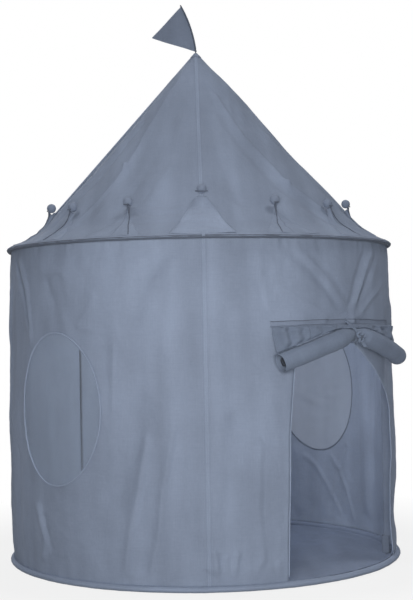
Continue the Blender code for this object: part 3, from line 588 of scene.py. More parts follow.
def wall_panel(name, turns, heights, keep=None):
    """One wall panel from a grid of turns and heights."""
    x = np.radians(turns) * base_radius
    outside = round_points(wall_out(turns, heights), turns, heights)
    return lay_cloth(name, outside, x, heights, wall_thick, wall_canvas, keep, from_sides(x), heights)


def windowed(turns, heights, middle):
    """The squares outside a window, with the ring of corners beside it moved onto its edge."""
    turns, heights = turns.copy(), heights.copy()
    across = np.sin(np.radians(turns - middle)) * base_radius
    tall = heights - window_height
    ring = np.hypot(across / window_half_width, tall / window_half_height)
    ring = np.where(np.abs(turns - middle) < 80, ring, 9.0)
    inside = ring < 1
    gone = inside[:-1, :-1] & inside[:-1, 1:] & inside[1:, 1:] & inside[1:, :-1]
    keep = ~gone
    edge = np.zeros(turns.shape, bool)
    for a, b in ((0, 0), (0, 1), (1, 0), (1, 1)):
        part = edge[a : a + keep.shape[0], b : b + keep.shape[1]]
        part |= keep
    edge &= inside
    reach = 1 / np.maximum(ring, 1e-6)
    moved = np.degrees(np.arcsin(np.clip(across * reach / base_radius, -1, 1))) + middle
    turns = np.where(edge, moved, turns)
    heights = np.where(edge, window_height + tall * reach, heights)
    return turns, heights, keep


def plain_grid(first, last):
    """The turns and heights of a whole panel between two seams."""
    count = 1 + round(radians(last - first) * base_radius / wall_step)
    return np.meshgrid(np.linspace(first + seam_turn, last - seam_turn, count), wall_heights)


wall_left = wall_panel("panel_front_left", *windowed(*plain_grid(-90, 0), window_turns[0]))
wall_right = wall_panel("panel_back_right", *windowed(*plain_grid(90, 180), window_turns[1]))
wall_back = wall_panel("panel_back_left", *plain_grid(180, 270))


def between(table, value):
    """The second column of a table where its first has a value."""
    return np.interp(value, [row[0] for row in table], [row[1] for row in table])


door_row_count = round((door_head - wall_foot) / wall_step)
door_heights = np.concatenate(
    [
        np.linspace(wall_low, door_head, door_row_count + 1),
        np.linspace(door_head, wall_high, 1 + round((wall_high - door_head) / wall_step))[1:],
    ]
)
door_columns = (36, 80, 38)
share = np.clip((door_heights - wall_foot) / (door_head - wall_foot), 0, 1)
straight = soft(door_head, door_head + 0.10, door_heights)
jambs = [between(edge, share) * (1 - straight) + edge[0][1] * straight for edge in (left_jamb, right_jamb)]
edges = [np.full(share.shape, seam_turn), *jambs, np.full(share.shape, 90 - seam_turn)]
columns = []
for part, count in enumerate(door_columns):
    for n in range(count):
        columns.append(edges[part] + (edges[part + 1] - edges[part]) * n / count)
columns.append(edges[3])
turns = np.stack(columns, axis=1)
heights = np.broadcast_to(door_heights[:, None], turns.shape)
keep = np.ones((turns.shape[0] - 1, turns.shape[1] - 1), bool)
keep[:door_row_count, door_columns[0] : door_columns[0] + door_columns[1]] = False
wall_door = wall_panel("panel_doorway", turns, heights, keep)

tape_width = 0.0078
tape_lift = 0.0010
tape_curl = 0.0005
tape_thick = 0.0006
tape_canvas = canvas("seam_canvas", 1.10, rows=(0.0016,))


tapes = []
for label, turn in zip(("left", "front", "right", "back"), seam_turns):
    heights, off = np.meshgrid(wall_heights, np.linspace(-1, 1, 6), indexing="ij")
    across = off * tape_width / 2
    turns = turn + np.degrees(across / base_radius)
    radius = wall_out(turns, heights) + tape_lift - tape_curl * np.abs(off) ** 3
    tape = lay_cloth(
        "seam_tape_" + label, round_points(radius, turns, heights), across, heights, tape_thick, tape_canvas,
        seam=tape_width / 2 - np.abs(across), run=heights,
    )
    tapes.append(tape)

window_area = pi * window_half_width * window_half_height
door_area = door_wide * (door_head - wall_foot)
panel_flat = (0.79, 0.80)
for panel, node, gone, tape in (
    (wall_left, "wall_front_left", window_area, tapes[0]),
    (wall_door, "wall_front_right", door_area, tapes[1]),
    (wall_right, "wall_back_right", window_area, tapes[2]),
    (wall_back, "wall_back_left", 0.0, tapes[3]),
):
    for piece in (panel, tape):
        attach(piece, "tent")
    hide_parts(node)
    panel_flat[0] * panel_flat[1] - gone


# Windows: an oval of fine knitted mesh sewn behind each hole, close enough to look almost
# solid, with a cloth-covered cord over the raw edge
net_thick = 0.0005
net_cell = 0.0013
net_border = 0.003
net_sink = 0.0002
net_hollow = 0.0022
net_proud = 0.0008
piping_radius = 0.0022
net_colour = (0.262, 0.312, 0.400)
window_rod_turn = -35.15


def mesh_net(name, colour):
    """A fine warp-knitted mesh: round holes in offset rows, wider where a rod stretches it."""
    finish = Finish(bpy.data.materials.new(name))
    u, v, _ = finish.parts(finish.node("UVMap", {"uv_map": "cut"}).outputs[0])
    row = (v / net_cell).of("FLOOR")
    across = abs((u / net_cell + (row * 0.5).rest()).rest() - 0.5)
    along = abs((v / net_cell).rest() - 0.5)
    ring = across * across + along * along
    stretched = (1 - finish.written("off_seam") / 0.0050).held()
    open_share = ((0.163 + stretched * 0.20 - ring) * 50.0).held()
    cloud = finish.noise(u, v * 0.2, 24.0, 3.0, 2.0)
    shadow = (1 - finish.written("along_seam") / 0.006).held()
    crease = abs(finish.noise(u * 1.3 + v * 0.5, v * 0.5, 20.0, 3.0, 9.0) - 0.5)
    height = ring * 0.0004 + cloud * 0.0012 + crease * 0.0040
    bump = finish.node("Bump", Strength=1.0, Distance=1.0, Height=height)
    skin = finish.node(
        "BsdfPrincipled",
        Base_Color=finish.tint(0.5 + cloud * 0.5 - shadow * 0.40, dyed(colour, 0.52), dyed(colour, 1.16)),
        Roughness=0.7,
        Normal=bump.outputs[0],
        Sheen_Weight=0.10,
        Specular_IOR_Level=0.30,
        Alpha=1 - open_share,
    )
    finish.close(skin.outputs[0])
    return finish.holder


window_net = mesh_net("fine_mesh", net_colour)


def face_outward(made, close_ends=False):
    """Turns every face of a piece outward, with its open ends closed first where that is asked."""
    shape = bmesh.new()
    shape.from_mesh(made.data)
    if close_ends:
        bmesh.ops.holes_fill(shape, edges=[e for e in shape.edges if e.is_boundary])
    bmesh.ops.recalc_face_normals(shape, faces=shape.faces)
    shape.to_mesh(made.data)
    shape.free()


def placed(centre, *ways):
    """A grid of points: a centre, and what each way adds to it by its lengths."""
    return np.array(centre) + sum(np.asarray(way) * np.asarray(lengths)[..., None] for way, lengths in ways)


def tube_along(name, points, radius, finish, closed=False, around=10, puckers=0.0, seed=1, thick=0.0):
    """A cloth-covered round cord or tunnel along a line of points, rolled edge and all."""
    points = np.asarray([tuple(p) for p in points], float)
    if closed:
        ahead_of = np.roll(points, -1, axis=0) - np.roll(points, 1, axis=0)
    else:
        ahead_of = np.gradient(points, axis=0)
    way = ahead_of / np.linalg.norm(ahead_of, axis=1)[:, None]
    out = points * np.array([1, 1, 0])
    out -= way * np.sum(out * way, axis=1)[:, None]
    out /= np.linalg.norm(out, axis=1)[:, None]
    side = np.cross(way, out)
    steps = np.linalg.norm(np.diff(points, axis=0), axis=1)
    run = np.concatenate([[0], np.cumsum(steps)])
    angle = np.linspace(0, 2 * pi, around + 1)[None, :]
    size = np.broadcast_to(np.asarray(radius, float), (len(points),))[:, None]
    wavy = 1 + puckers * rumple(run[:, None] + 0 * angle, angle * 0.006, 0.006, seed)
    mean_size = np.mean(size)
    size = size * wavy
    ways = (out[:, None, :], size * np.cos(angle)), (side[:, None, :], size * np.sin(angle))
    grid = placed(points[:, None, :], *ways)
    across = np.broadcast_to(angle * mean_size, grid.shape[:2])
    along = np.broadcast_to(run[:, None], grid.shape[:2])
    if closed:
        grid = np.concatenate([grid, grid[:1]])
        far = run[-1] + np.linalg.norm(points[0] - points[-1])
        across = np.concatenate([across, across[:1]])
        along = np.concatenate([along, np.full((1, around + 1), far)])
    grid[:, -1] = grid[:, 0]
    made = lay_cloth(name, grid[:, ::-1], across[:, ::-1], along[:, ::-1], thick, finish, join=True)
    face_outward(made, not thick and not closed)
    return made


piping_canvas = canvas("piping_canvas", 1.10, crumple=0.4, sheer=0.0)
shaded_piping = canvas("shaded_piping", 0.55, crumple=0.4, sheer=0.0)


def on_wall(turn, height, lift=0.0):
    """A point on the wall's outside, or a lift away from it."""
    return spot(float(wall_out(turn, height)) + lift, turn, height)


for label, middle, panel, cord_canvas, lift in (
    ("left", window_turns[0], wall_left, piping_canvas, 0.0012),
    ("back", window_turns[1], wall_right, shaded_piping, 0.0),
):
    reach = degrees(window_half_width / base_radius) * 1.03
    reach_up = window_half_height + net_border
    turns, heights = np.meshgrid(
        np.linspace(middle - reach, middle + reach, 48),
        np.linspace(window_height - reach_up, window_height + reach_up, 66),
    )
    across = np.sin(np.radians(turns - middle)) * base_radius
    tall = heights - window_height
    ring = np.hypot(across / (window_half_width + net_border), tall / reach_up)
    inside = ring < 1.0
    keep = inside[:-1, :-1] | inside[:-1, 1:] | inside[1:, 1:] | inside[1:, :-1]
    slack = np.clip(1 - ring, 0, 1) ** 0.5
    creases = 0.0012 * rumple(across * 0.7 + tall * 0.5, tall - across * 0.4, 0.022, 21)
    creases += 0.0014 * rumple(across, tall, 0.06, 22)
    radius = wall_line(heights) - wall_thick - net_sink - net_hollow * slack
    radius += np.minimum(creases * slack, net_proud)
    pull = np.where(ring > 1, 1 / np.maximum(ring, 1e-6), 1)
    turns = middle + np.degrees(np.arcsin(np.clip(across * pull / base_radius, -1, 1)))
    heights = window_height + tall * pull
    off_rod = np.radians(np.abs(turns - window_rod_turn + (heights - window_height) * 1.6)) * base_radius
    net = lay_cloth(
        "net_" + label, round_points(radius, turns, heights), across * pull, heights, net_thick, window_net,
        keep, seam=off_rod, run=np.clip(1 - ring, 0, 1) * window_half_width,
    )
    line = []
    for angle in np.linspace(0, 2 * pi, 120, endpoint=False):
        aside, height = window_half_width * sin(angle), window_height + window_half_height * cos(angle)
        line.append(on_wall(middle + degrees(atan2(aside, (base_radius**2 - aside**2) ** 0.5)), height, lift))
    cord = tube_along("piping_" + label, line, piping_radius, cord_canvas, closed=True, puckers=0.06, seed=23)
    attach(net, "tent")
    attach(cord, "tent")
    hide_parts("window_net_" + label)
    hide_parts("window_piping_" + label)


# Hoop sleeves: a tunnel of canvas at the foot and one at the eave, each closed by a line of
# stitching, puckered over its bent rod, and left open at the back where the rod is fed in
mouth = (180.0, 187.5)
sleeve_thick = 0.0008
base_ring = (0.4995, 0.0075, 0.0095, 0.0072)
eave_ring = (0.4965, 0.8048, 0.0082, 0.0046)
# the base sleeve's canvas is made a little paler: painted light
base_sleeve_lit_canvas = canvas("base_sleeve_lit_canvas", 1.04, rows=(0.0030,), crumple=0.8)
# the eave sleeve in a deep copy of the canvas: painted shade under the roof's lip
eave_sleeve_shaded_canvas = canvas("eave_sleeve_shaded_canvas", 0.42, rows=(0.0030,), crumple=0.8)


def hoop_sleeve(name, ring, around, seed, node, finish):
    """A flattened cloth tunnel whose section is (radius, height, half width, half height)."""
    radius, height, half_wide, half_tall = ring
    at_foot = node == "base_sleeve"
    count = round(2 * pi * radius / 0.0055)
    turns = np.linspace(mouth[1], mouth[0] + 360, count)[:, None]
    angle = np.linspace(0, 2 * pi, around + 1)[None, :]
    x = np.radians(turns) * radius
    puckers = 0.05 * rumple(x + 0.004 * np.sin(angle), angle * 0.006, 0.011, seed)
    puckers = puckers + 0.04 * rumple(x, angle * 0.004, 0.034, seed + 1)
    size = np.maximum(1 + puckers, 0.98)
    slung = 0.0 if at_foot else 0.8 * np.exp(-(((turns_from(turns, 0) - 89) / 8) ** 2))
    slung = 1 + slung * (np.sin(angle) < 0)
    tall = np.maximum(height + half_tall * size * slung * np.sin(angle), 0.0002)
    out = radius + half_wide * size * np.cos(angle)
    out = out + (foot_aside if at_foot else 0.0) * np.sin(np.radians(turns))
    turns = np.broadcast_to(turns, out.shape)
    points = round_points(out, turns, tall)
    points[:, -1] = points[:, 0]
    round_it = pi * (half_wide + half_tall)
    across = np.broadcast_to(angle / (2 * pi) * round_it, out.shape)
    along = np.broadcast_to(x, out.shape)
    stitch_at = 0.35 * pi if at_foot else 1.6 * pi
    seam = np.abs(np.broadcast_to(angle, out.shape) - stitch_at) / (2 * pi) * round_it
    made = lay_cloth(
        name, np.swapaxes(points, 0, 1), across.T, along.T, sleeve_thick, finish, None, seam.T, along.T, True
    )
    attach(made, "tent")
    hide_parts(node)


hoop_sleeve("sleeve_base", base_ring, 20, 31, "base_sleeve", base_sleeve_lit_canvas)
hoop_sleeve("sleeve_eave", eave_ring, 18, 33, "eave_sleeve", eave_sleeve_shaded_canvas)


# Floor: a round cloth laid inside the base hoop and sewn into its sleeve, with a turned and
# stitched rim
floor_radius = 0.4835
floor_top = 0.0020
floor_thick = 0.0010
rim_clear = 0.0012
floor_slate = (0.176, 0.212, 0.290)
floor_canvas = canvas("floor_canvas", 1.0, floor_slate, rows=(0.014, 0.019), sheer=0.0)
inner_rings = np.linspace(0.010, floor_radius - 0.012, 66)
rim_rings = np.linspace(floor_radius - 0.008, floor_radius, 4)
over_sleeve = np.radians(np.linspace(205, 98, 9))
rim_out = base_ring[0] + (base_ring[2] + rim_clear) * np.cos(over_sleeve)
rim_up = base_ring[1] + (base_ring[3] + rim_clear) * np.sin(over_sleeve)
rings = np.concatenate([[0.0], inner_rings, rim_rings, rim_out])
ring_lift = np.concatenate([np.zeros(len(rings) - len(rim_out)), rim_up - floor_top])
spokes = np.linspace(0, 360, 301)
radii, turns = np.meshgrid(rings, spokes)
x, y = radii * np.sin(np.radians(turns)), -radii * np.cos(np.radians(turns))
lift = 0.0016 * rumple(x, y, 0.075, 41) + 0.0006 * rumple(x, y, 0.017, 43)
lift += 0.0022 * np.maximum(0, rumple(x + y * 0.6, y - x * 0.3, 0.040, 42)) ** 2
rim_off = floor_radius - radii
lift = np.maximum(lift + 0.0007, 0) * soft(0, 0.03, rim_off)
run = np.radians(turns) * floor_radius
lift += 0.0006 * rumple(run, radii * 0.3, 0.018, 44) * np.exp(-np.abs(rim_off) / 0.02)
lift = np.where(radii < 0.02, 0.0007, lift)
points = np.stack([x, y, floor_top + ring_lift[None, :] + np.maximum(lift, -0.0004)], axis=-1)
points[-1] = points[0]
points, x, y, seam, run = (part[::-1, ::-1] for part in (points, x, y, rim_out[-1] - radii, run))
floor_sheet = lay_cloth("floor_cloth", points, x, y, floor_thick, floor_canvas, None, seam, run, True)
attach(floor_sheet, "tent")
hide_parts("floor")


# Roof: four gores of the same canvas, sewn into a cone that flares out to the eave. The three
# rods lift a long ridge each, and the cloth between them is pulled into slanting folds
roof_foot_radius = 0.4932
roof_foot_height = 0.8119
break_radius = 0.4307
break_height = 0.8472
apex_height = 1.329
crown_hole = 0.0120
cone_angle = atan2(break_radius, apex_height - break_height)
flare_shares = np.linspace(0, 1, 9)
lip = ((0.5053, 0.8012), (0.5050, 0.8050), (0.5022, 0.8086), (0.4980, 0.8108))
profile_radius = roof_foot_radius + (break_radius - roof_foot_radius) * flare_shares
flare_rise = 0.55 * flare_shares + 0.45 * flare_shares**2
profile_height = roof_foot_height + (break_height - roof_foot_height) * flare_rise
cone_end = crown_hole * 0.6
profile_radius = np.concatenate([[r for r, _ in lip], profile_radius, [cone_end]])
cone_top = apex_height - cone_end / np.tan(cone_angle)
profile_height = np.concatenate([[h for _, h in lip], profile_height, [cone_top]])
profile_run = np.concatenate([[0], np.cumsum(np.hypot(np.diff(profile_radius), np.diff(profile_height)))])
eave_run = profile_run[len(lip)]
break_run = profile_run[len(lip) + 8]
roof_length = profile_run[-1]
slopes = np.unwrap(np.arctan2(-np.diff(profile_radius), np.diff(profile_height)))
profile_slope = np.concatenate([[slopes[0]], (slopes[1:] + slopes[:-1]) / 2, [slopes[-1]]])
profile_slope[len(lip) + 8] = slopes[-1]
roof_thick = 0.0008
roof_fan = sin(cone_angle)

# Each roof fold: its steep side, width and two depths in millimetres, then turns and heights
roof_folds = (
    ("right", 13, 2.2, 4.6, (-37.9, 1.300), (-38.3, 1.244), (-38.9, 1.149), (-38.4, 1.114), (-36.6, 1.040),
     (-37.5, 0.994)),
    ("right", 13, 4.6, 1.8, (-37.5, 0.994), (-39.5, 0.952), (-42.3, 0.912), (-46.6, 0.860), (-50.7, 0.822)),
    (None, 14, 2.0, 4.2, (82.5, 1.300), (82.5, 1.150), (82.8, 1.000), (82.5, 0.860), (82.5, 0.825)),
    (None, 14, 2.0, 4.2, (202.5, 1.300), (202.5, 1.150), (202.2, 1.000), (202.5, 0.860), (202.5, 0.825)),
    ("left", 13, 1.8, 4.2, (24.7, 1.196), (31.6, 1.083), (40.4, 0.954)),
    ("left", 14, 4.2, 2.0, (40.4, 0.954), (57.2, 0.841), (67.3, 0.818)),
    (None, 15, -1.4, -3.0, (19.0, 1.180), (26.0, 1.060), (34.0, 0.950), (48.0, 0.850)),
    (None, 16, -1.4, -2.6, (-20, 1.160), (-24, 1.000), (-30, 0.880)),
    (None, 12, 1.4, 2.4, (-13, 1.130), (-14, 1.000), (-19, 0.900)),
    (None, 14, -1.2, -2.2, (9, 1.140), (11, 1.000), (14, 0.900)),
    (None, 6, 1.2, 0.8, (-25, 0.885), (-14, 0.878), (-6, 0.886)),
    (None, 6, 1.1, 0.8, (-24, 0.862), (-15, 0.852), (-7, 0.858)),
    (None, 6, -1.0, -0.8, (-23, 0.874), (-14, 0.866), (-8, 0.872)),
    (None, 5, 1.0, 0.6, (-22, 0.838), (-13, 0.832)),
    (None, 16, 1.6, 1.0, (-28, 0.958), (-20, 0.952), (-12, 0.960)),
    ("left", 15, 1.8, 3.8, (104, 1.180), (112, 1.040), (124, 0.920), (136, 0.840)),
    (None, 15, -1.4, -2.8, (98, 1.160), (104, 1.020), (114, 0.900)),
    ("right", 15, 1.8, 3.6, (170, 1.180), (163, 1.040), (152, 0.920), (142, 0.845)),
    ("left", 15, 1.8, 3.8, (222, 1.180), (230, 1.040), (240, 0.920), (250, 0.840)),
    (None, 15, -1.4, -2.6, (214, 1.160), (219, 1.000), (228, 0.880)),
    ("right", 14, 1.6, 3.4, (262, 1.160), (258, 1.020), (250, 0.900)),
    ("right", 14, 1.6, 3.2, (-60, 1.160), (-63, 1.040), (-70, 0.900)),
    (None, 14, -1.4, -2.6, (-52, 1.120), (-56, 0.980), (-64, 0.860)),
    (None, 14, -1.2, -2.4, (66, 1.120), (70, 0.980), (76, 0.860)),
)
rod_turns = (-37.5, 82.5, -157.5)
ridge_rise = 0.0090
ridge_reach = 0.055
drawn_in = 0.010


def roof_flat(turn, run):
    """Where a point of the roof lies once the cone is opened out flat."""
    radius = np.interp(run, profile_run, profile_radius)
    out = np.where(run < break_run, radius / roof_fan, roof_length - run + cone_end / roof_fan)
    swing = np.radians(turn) * roof_fan
    return out * np.sin(swing), -out * np.cos(swing)


def roof_out(turn, run, lift=0.0):
    """Points on the roof's outside, a cloth length up from the eave, raised by a lift."""
    turn, run = np.broadcast_arrays(np.asarray(turn, float), np.asarray(run, float))
    x, y = roof_flat(turn, run)
    bulge = np.zeros(x.shape)
    for steep, wide, first, last, *line in roof_folds:
        places = []
        for t, h in line:
            px, py = roof_flat(np.array(float(t)), np.interp(h, profile_height, profile_run))
            places.append((float(px), float(py)))
        bulge += fold_along(x, y, steep, wide / 1000, first / 1000, last / 1000, places)
    bulge *= fold_share
    bulge += 0.0020 * rumple(x, y, 0.11, 51) + 0.0011 * rumple(x, y, 0.05, 52)
    bulge += 0.0008 * rumple(x, y, 0.018, 53) * soft(-0.2, 0.8, rumple(x, y, 0.12, 54))
    radius = np.interp(run, profile_run, profile_radius)
    side = np.radians(np.abs((turn + 45) % 90 - 45)) * radius
    above, below = run - eave_run, roof_length - run
    bulge *= soft(0, 0.022, side) * soft(0, 0.05, above) * soft(0.015, 0.09, below)
    bulge += 0.0006 * rumple(run, side * 0.4, 0.013, 55) * np.exp(-side / 0.014) * soft(0, 0.1, below)
    spanned = soft(0.02, 0.14, above) * soft(0.05, 0.25, below)
    for rod_turn in rod_turns:
        off_rod = np.radians(turns_from(turn, rod_turn)) * radius
        bulge += ridge_rise * np.exp(-off_rod / ridge_reach) * spanned
    bulge -= ridge_rise * spanned
    drawn = soft(69, 90, turn) * (1 - soft(96, 150, turn))
    bulge -= drawn_in * drawn * soft(0.0, 0.16, above) * soft(0.10, 0.35, below)
    creased = rumple(x * 0.45 + y * 0.2, y * 1.9, 0.014, 57) * soft(-0.4, 0.5, rumple(x, y, 0.09, 58))
    bulge += 0.0011 * creased * soft(0.0, 0.02, above) * (1 - soft(0.06, 0.16, above)) * soft(0, 0.02, side)
    gathers = rumple(np.radians(turn) * roof_foot_radius, run * 0.3, 0.013, 56)
    bulge += 0.0010 * gathers * np.exp(-np.maximum(above, 0) / 0.030) * soft(-0.012, 0.006, above)
    bulge *= soft(0, 0.012, np.radians(turns_from(turn, seam_turns[0])) * radius)
    slope = np.interp(run, profile_run, profile_slope)
    slope_out, slope_up = np.cos(slope), np.sin(slope)
    tall = np.interp(run, profile_run, profile_height)
    return round_points(radius + slope_out * (bulge + lift), turn, tall + slope_up * (bulge + lift))


# the roof's canvas is the wall's made a little deeper: painted shade
roof_shaded_canvas = canvas("roof_shaded_canvas", 0.93, rows=seam_rows)
gore_rows = 136
lip_tuck = 0.0034
tape_short = 0.004
gore_columns = 132
for label, first in (("front_right", 0), ("back_right", 90), ("back_left", 180), ("front_left", -90)):
    share, run = np.meshgrid(np.linspace(0, 1, gore_columns), np.linspace(lip_tuck, roof_length, gore_rows))
    radius = np.interp(run, profile_run, profile_radius)
    tuck = np.degrees(seam_gap / radius)
    turns = first + tuck + (90 - 2 * tuck) * share
    x, y = roof_flat(turns, run)
    side = np.radians(np.minimum(turns - first, first + 90 - turns)) * radius
    gore = lay_cloth("gore_" + label, roof_out(turns, run), x, y, roof_thick, roof_shaded_canvas, None, side, run)
    run, off = np.meshgrid(
        np.linspace(lip_tuck, roof_length - tape_short, gore_rows), np.linspace(-1, 1, 6), indexing="ij"
    )
    across = off * tape_width / 2
    turns = first + np.degrees(across / np.interp(run, profile_run, profile_radius))
    tape = lay_cloth(
        "roof_tape_" + label, roof_out(turns, run, tape_lift - tape_curl * np.abs(off) ** 3), across, run,
        tape_thick, tape_canvas, seam=tape_width / 2 - np.abs(across), run=run,
    )
    for piece in (gore, tape):
        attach(piece, "tent")
    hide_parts("roof_" + label)


# Crown: a strip sewn into the eave seam and cut into fourteen points, faced and turned, that
# lie up the roof. A stuffed ball of the same cloth is sewn to the tip of each point. Dark cords in
# each point's crease and under each ball are painted shade.
point_count = 14
point_half_width = 0.070
point_tip_half = 0.004
point_lengths = (0.160, 0.118, 0.118, 0.134, 0.125, 0.125, 0.125, 0.125)
strip_height = 0.008
strip_thick = 0.0006
strip_radius = 0.49
reach_down = 0.003
point_thick = 0.0007
crease_radius = 0.0009
ball_shadow_cord_radius = 0.0015
ball_radius = 0.0115
# the points' canvas is as deep as the roof's and darker along each point's middle line: painted shade of its
# crease
crown_shaded_canvas = canvas("crown_shaded_canvas", 0.93, rows=(), edge=-1.8)
front_canvas = canvas("front_point_canvas", 1.08, rows=(0.0042,), sheer=0.0)
# the balls' cloth is made deeper: painted shade
ball_shaded_canvas = canvas("ball_shaded_canvas", 0.78, crumple=0.8, sheer=0.0)
# a dark copy of the canvas for cords that paint shade: in each point's crease and under each ball
shadow_cord_canvas = canvas("shadow_cord_canvas", 0.40, crumple=0.6, sheer=0.0)
for number in range(point_count):
    length = point_lengths[min(number, point_count - number)]
    middle = 360 / point_count * number
    middle = middle if middle < 265 else middle - 360
    front = number == 0
    across, up_share = np.meshgrid(np.linspace(-1, 1, 37), np.linspace(0, 1, 52))
    up = -reach_down + (length + reach_down) * up_share
    share = np.clip((up - strip_height) / (length - strip_height), 0, 1)
    tip_half, wide_half, taper = (0.0125, 0.077, 0.90) if front else (point_tip_half, point_half_width, 1.35)
    half = tip_half + (wide_half - tip_half) * (1 - share) ** taper
    off = (1 - np.abs(across)) * half
    if front:
        lift = 0.0009 + 0.0010 * share**6 + 0.0008 * soft(0.0, 0.004, off)
    else:
        crest = np.abs(across * half)
        sharp = np.where(across > 0, 0.0018, 0.0060)
        lift = 0.0006 + 0.0030 * share**6
        lift = lift + 0.0016 * np.exp(-((crest / sharp) ** 1.5)) * soft(-0.05, 0.2, share)
        lift = lift + 0.0078 * np.exp(-((crest / 0.0020) ** 1.5)) * soft(0.66, 1.0, share)
    lift = lift - 0.0003 * (1 - soft(0, 0.0015, off))
    slack = rumple(across * half * 0.8, up * (1.0 if front else 2.2), 0.026, 61 + number)
    lift = lift + 0.0011 * slack * soft(0, 0.02, off)
    lift = lift + 0.0008 * rumple(across * half * 0.5, up * 1.6, 0.011, 81 + number) * soft(0, 0.012, off)
    run = eave_run + up
    radius = np.interp(run, profile_run, profile_radius)
    turns = middle + np.degrees(half * across / radius)
    made = lay_cloth(
        f"point_{number + 1:02d}", roof_out(turns, run, np.maximum(lift, point_thick)), half * across, up,
        point_thick, front_canvas if front else crown_shaded_canvas,
        seam=off if front else np.abs(across * half - 0.0004), run=up,
    )
    if not front:
        crease_run = np.linspace(0.004, length, 40)
        wander = 0.22 * rumple(crease_run, 0 * crease_run, 0.030, 670 + number)
        upright = {1: -4.2, 13: 5.2}.get(number, 0.0) * (1 - crease_run / length)
        upright = upright + {2: 1.6, 12: -1.6}.get(number, 0.0) * np.sin(pi * crease_run / length)
        raised = 0.0018 + 0.0016 * (crease_run / length) ** 5
        crease_line = roof_out(middle + 0.25 + wander + upright, eave_run + crease_run, raised)
        low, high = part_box(f"crown_ball_{number + 1:02d}")
        uphill = crease_line[-1] - crease_line[-6]
        sewn = np.array((low + high) / 2) - uphill / np.linalg.norm(uphill) * ball_radius * 0.86
        gathered = soft(0.70, 1.0, crease_run / length)[:, None]
        crease_line = crease_line + (sewn - crease_line) * gathered
        # a dark cord along each point's crease: painted shade
        crease_shadow_cord = tube_along(
            f"crease_{number + 1:02d}", crease_line, crease_radius + 0.0023 * gathered[:, 0], shadow_cord_canvas,
            around=12, puckers=0.4, seed=690 + number,
        )
        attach(crease_shadow_cord, "tent")
    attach(made, "tent")

# the strip along the eave in a deep copy of the canvas: painted shade under the roof's lip
edge_canvas = canvas("eave_lip_painted_shade", 0.42, rows=(0.0042,), sheer=0.0)
turns, up = np.meshgrid(np.linspace(-180, 180, 720), np.linspace(0.0002, 0.0106, 7))
wrapped = np.where(turns < -90, turns + 360, turns)
x = np.radians(turns) * strip_radius
lift = 0.0003 * rumple(x, up - eave_run, 0.012, 97) - 0.0012
points = roof_out(wrapped, up, lift)
points[:, -1] = points[:, 0]
crown_strip = lay_cloth("crown_strip", points, x, up - eave_run, strip_thick, edge_canvas, None, up, x, True)
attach(crown_strip, "tent")
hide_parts("crown_trim")

for number in range(point_count):
    low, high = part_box(f"crown_ball_{number + 1:02d}")
    centre = (low + high) / 2
    out = Vector((centre.x, centre.y, 0)).normalized()
    slope = (Vector((0, 0, cos(cone_angle))) - out * sin(cone_angle)).normalized()
    out = (out - slope * out.dot(slope)).normalized()
    side = slope.cross(out)
    theta = np.linspace(0, pi, 23)[:, None]
    phi = np.linspace(0, 2 * pi, 41)[None, :]
    chance = np.random.default_rng(200 + number)
    swell = 1 + 0.035 * rumple(np.sin(theta) * np.cos(phi), np.sin(theta) * np.sin(phi), 0.8, 210 + number)
    neck = np.exp(-(((theta - pi) / 0.75) ** 2))
    swell = swell + 0.10 * neck * np.cos(phi * 9 + chance.uniform(0, 6)) * np.sin(theta) ** 0.5 - 0.06 * neck
    seam = np.minimum(np.abs(np.sin(phi - 0.7)), 1.0)
    swell = swell - 0.035 * np.exp(-((seam / 0.10) ** 2)) * np.sin(theta)
    size = ball_radius * np.minimum(swell, 1.04)
    flat = size * np.sin(theta)
    ways = (side, flat * np.cos(phi)), (out, flat * np.sin(phi)), (slope, size * np.cos(theta))
    grid = placed(centre, *ways)
    grid[:, -1] = grid[:, 0]
    grid[0], grid[-1] = grid[0, 0], grid[-1, 0]
    around_ball = ball_radius * np.sin(theta) * (phi - pi)
    down = ball_radius * theta * np.ones_like(phi)
    ball = lay_cloth(f"ball_{number + 1:02d}", grid, around_ball, down, 0, ball_shaded_canvas, join=True)
    face_outward(ball)
    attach(ball, "tent")
    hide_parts(f"crown_ball_{number + 1:02d}")
    # a dark cord under each ball: painted shadow of the ball
    half_wide = 0.0150 if number == 0 else 0.0062
    share = np.linspace(0, 1, 14)
    down = ball_radius - 0.0002 + 0.0012 * np.sin(pi * share)
    cord_line = placed(centre + out * 0.0030, (slope, -down), (side, half_wide * (2 * share - 1)))
    knot = tube_along(
        f"knot_{number + 1:02d}", cord_line, ball_shadow_cord_radius, shadow_cord_canvas,
        around=8, puckers=0.2, seed=620 + number,
    )
    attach(knot, "tent")


# Cap: a small hemmed cone of canvas sewn over the point where the four gores meet, open in the
# middle for the pennant's rod
cap_low = 0.0135
cap_top = 0.0030
cap_lift = 0.0016
cap_thick = 0.0009
turns, cap_radius = np.meshgrid(np.linspace(0, 360, 73), np.linspace(cap_low, cap_top, 14))
off = (cap_low - cap_radius) / sin(cone_angle)
lift = cap_lift + 0.0004 * rumple(np.radians(turns) * 0.02, off, 0.006, 301)
cap_out = cap_radius + cos(cone_angle) * lift
cap_tall = apex_height - cap_radius / np.tan(cone_angle) + sin(cone_angle) * lift
points = round_points(cap_out, turns, cap_tall)
points[:, -1] = points[:, 0]
run = np.radians(turns) * cap_radius
# the cap in the points' canvas, so darker along its lower rim: painted shade
cap = lay_cloth("peak_cap", points, run, off, cap_thick, crown_shaded_canvas, None, off, run, True)
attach(cap, "tent")
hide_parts("roof_cap")


# Doorway: a bound edge up one jamb, along the head and down the other, and the stitched band
# from which the flap hangs
door_slate = (0.168, 0.204, 0.272)
door_cloth_width = 0.46
binding_canvas = canvas("binding_canvas", 1.18, crumple=0.5, sheer=0.0)
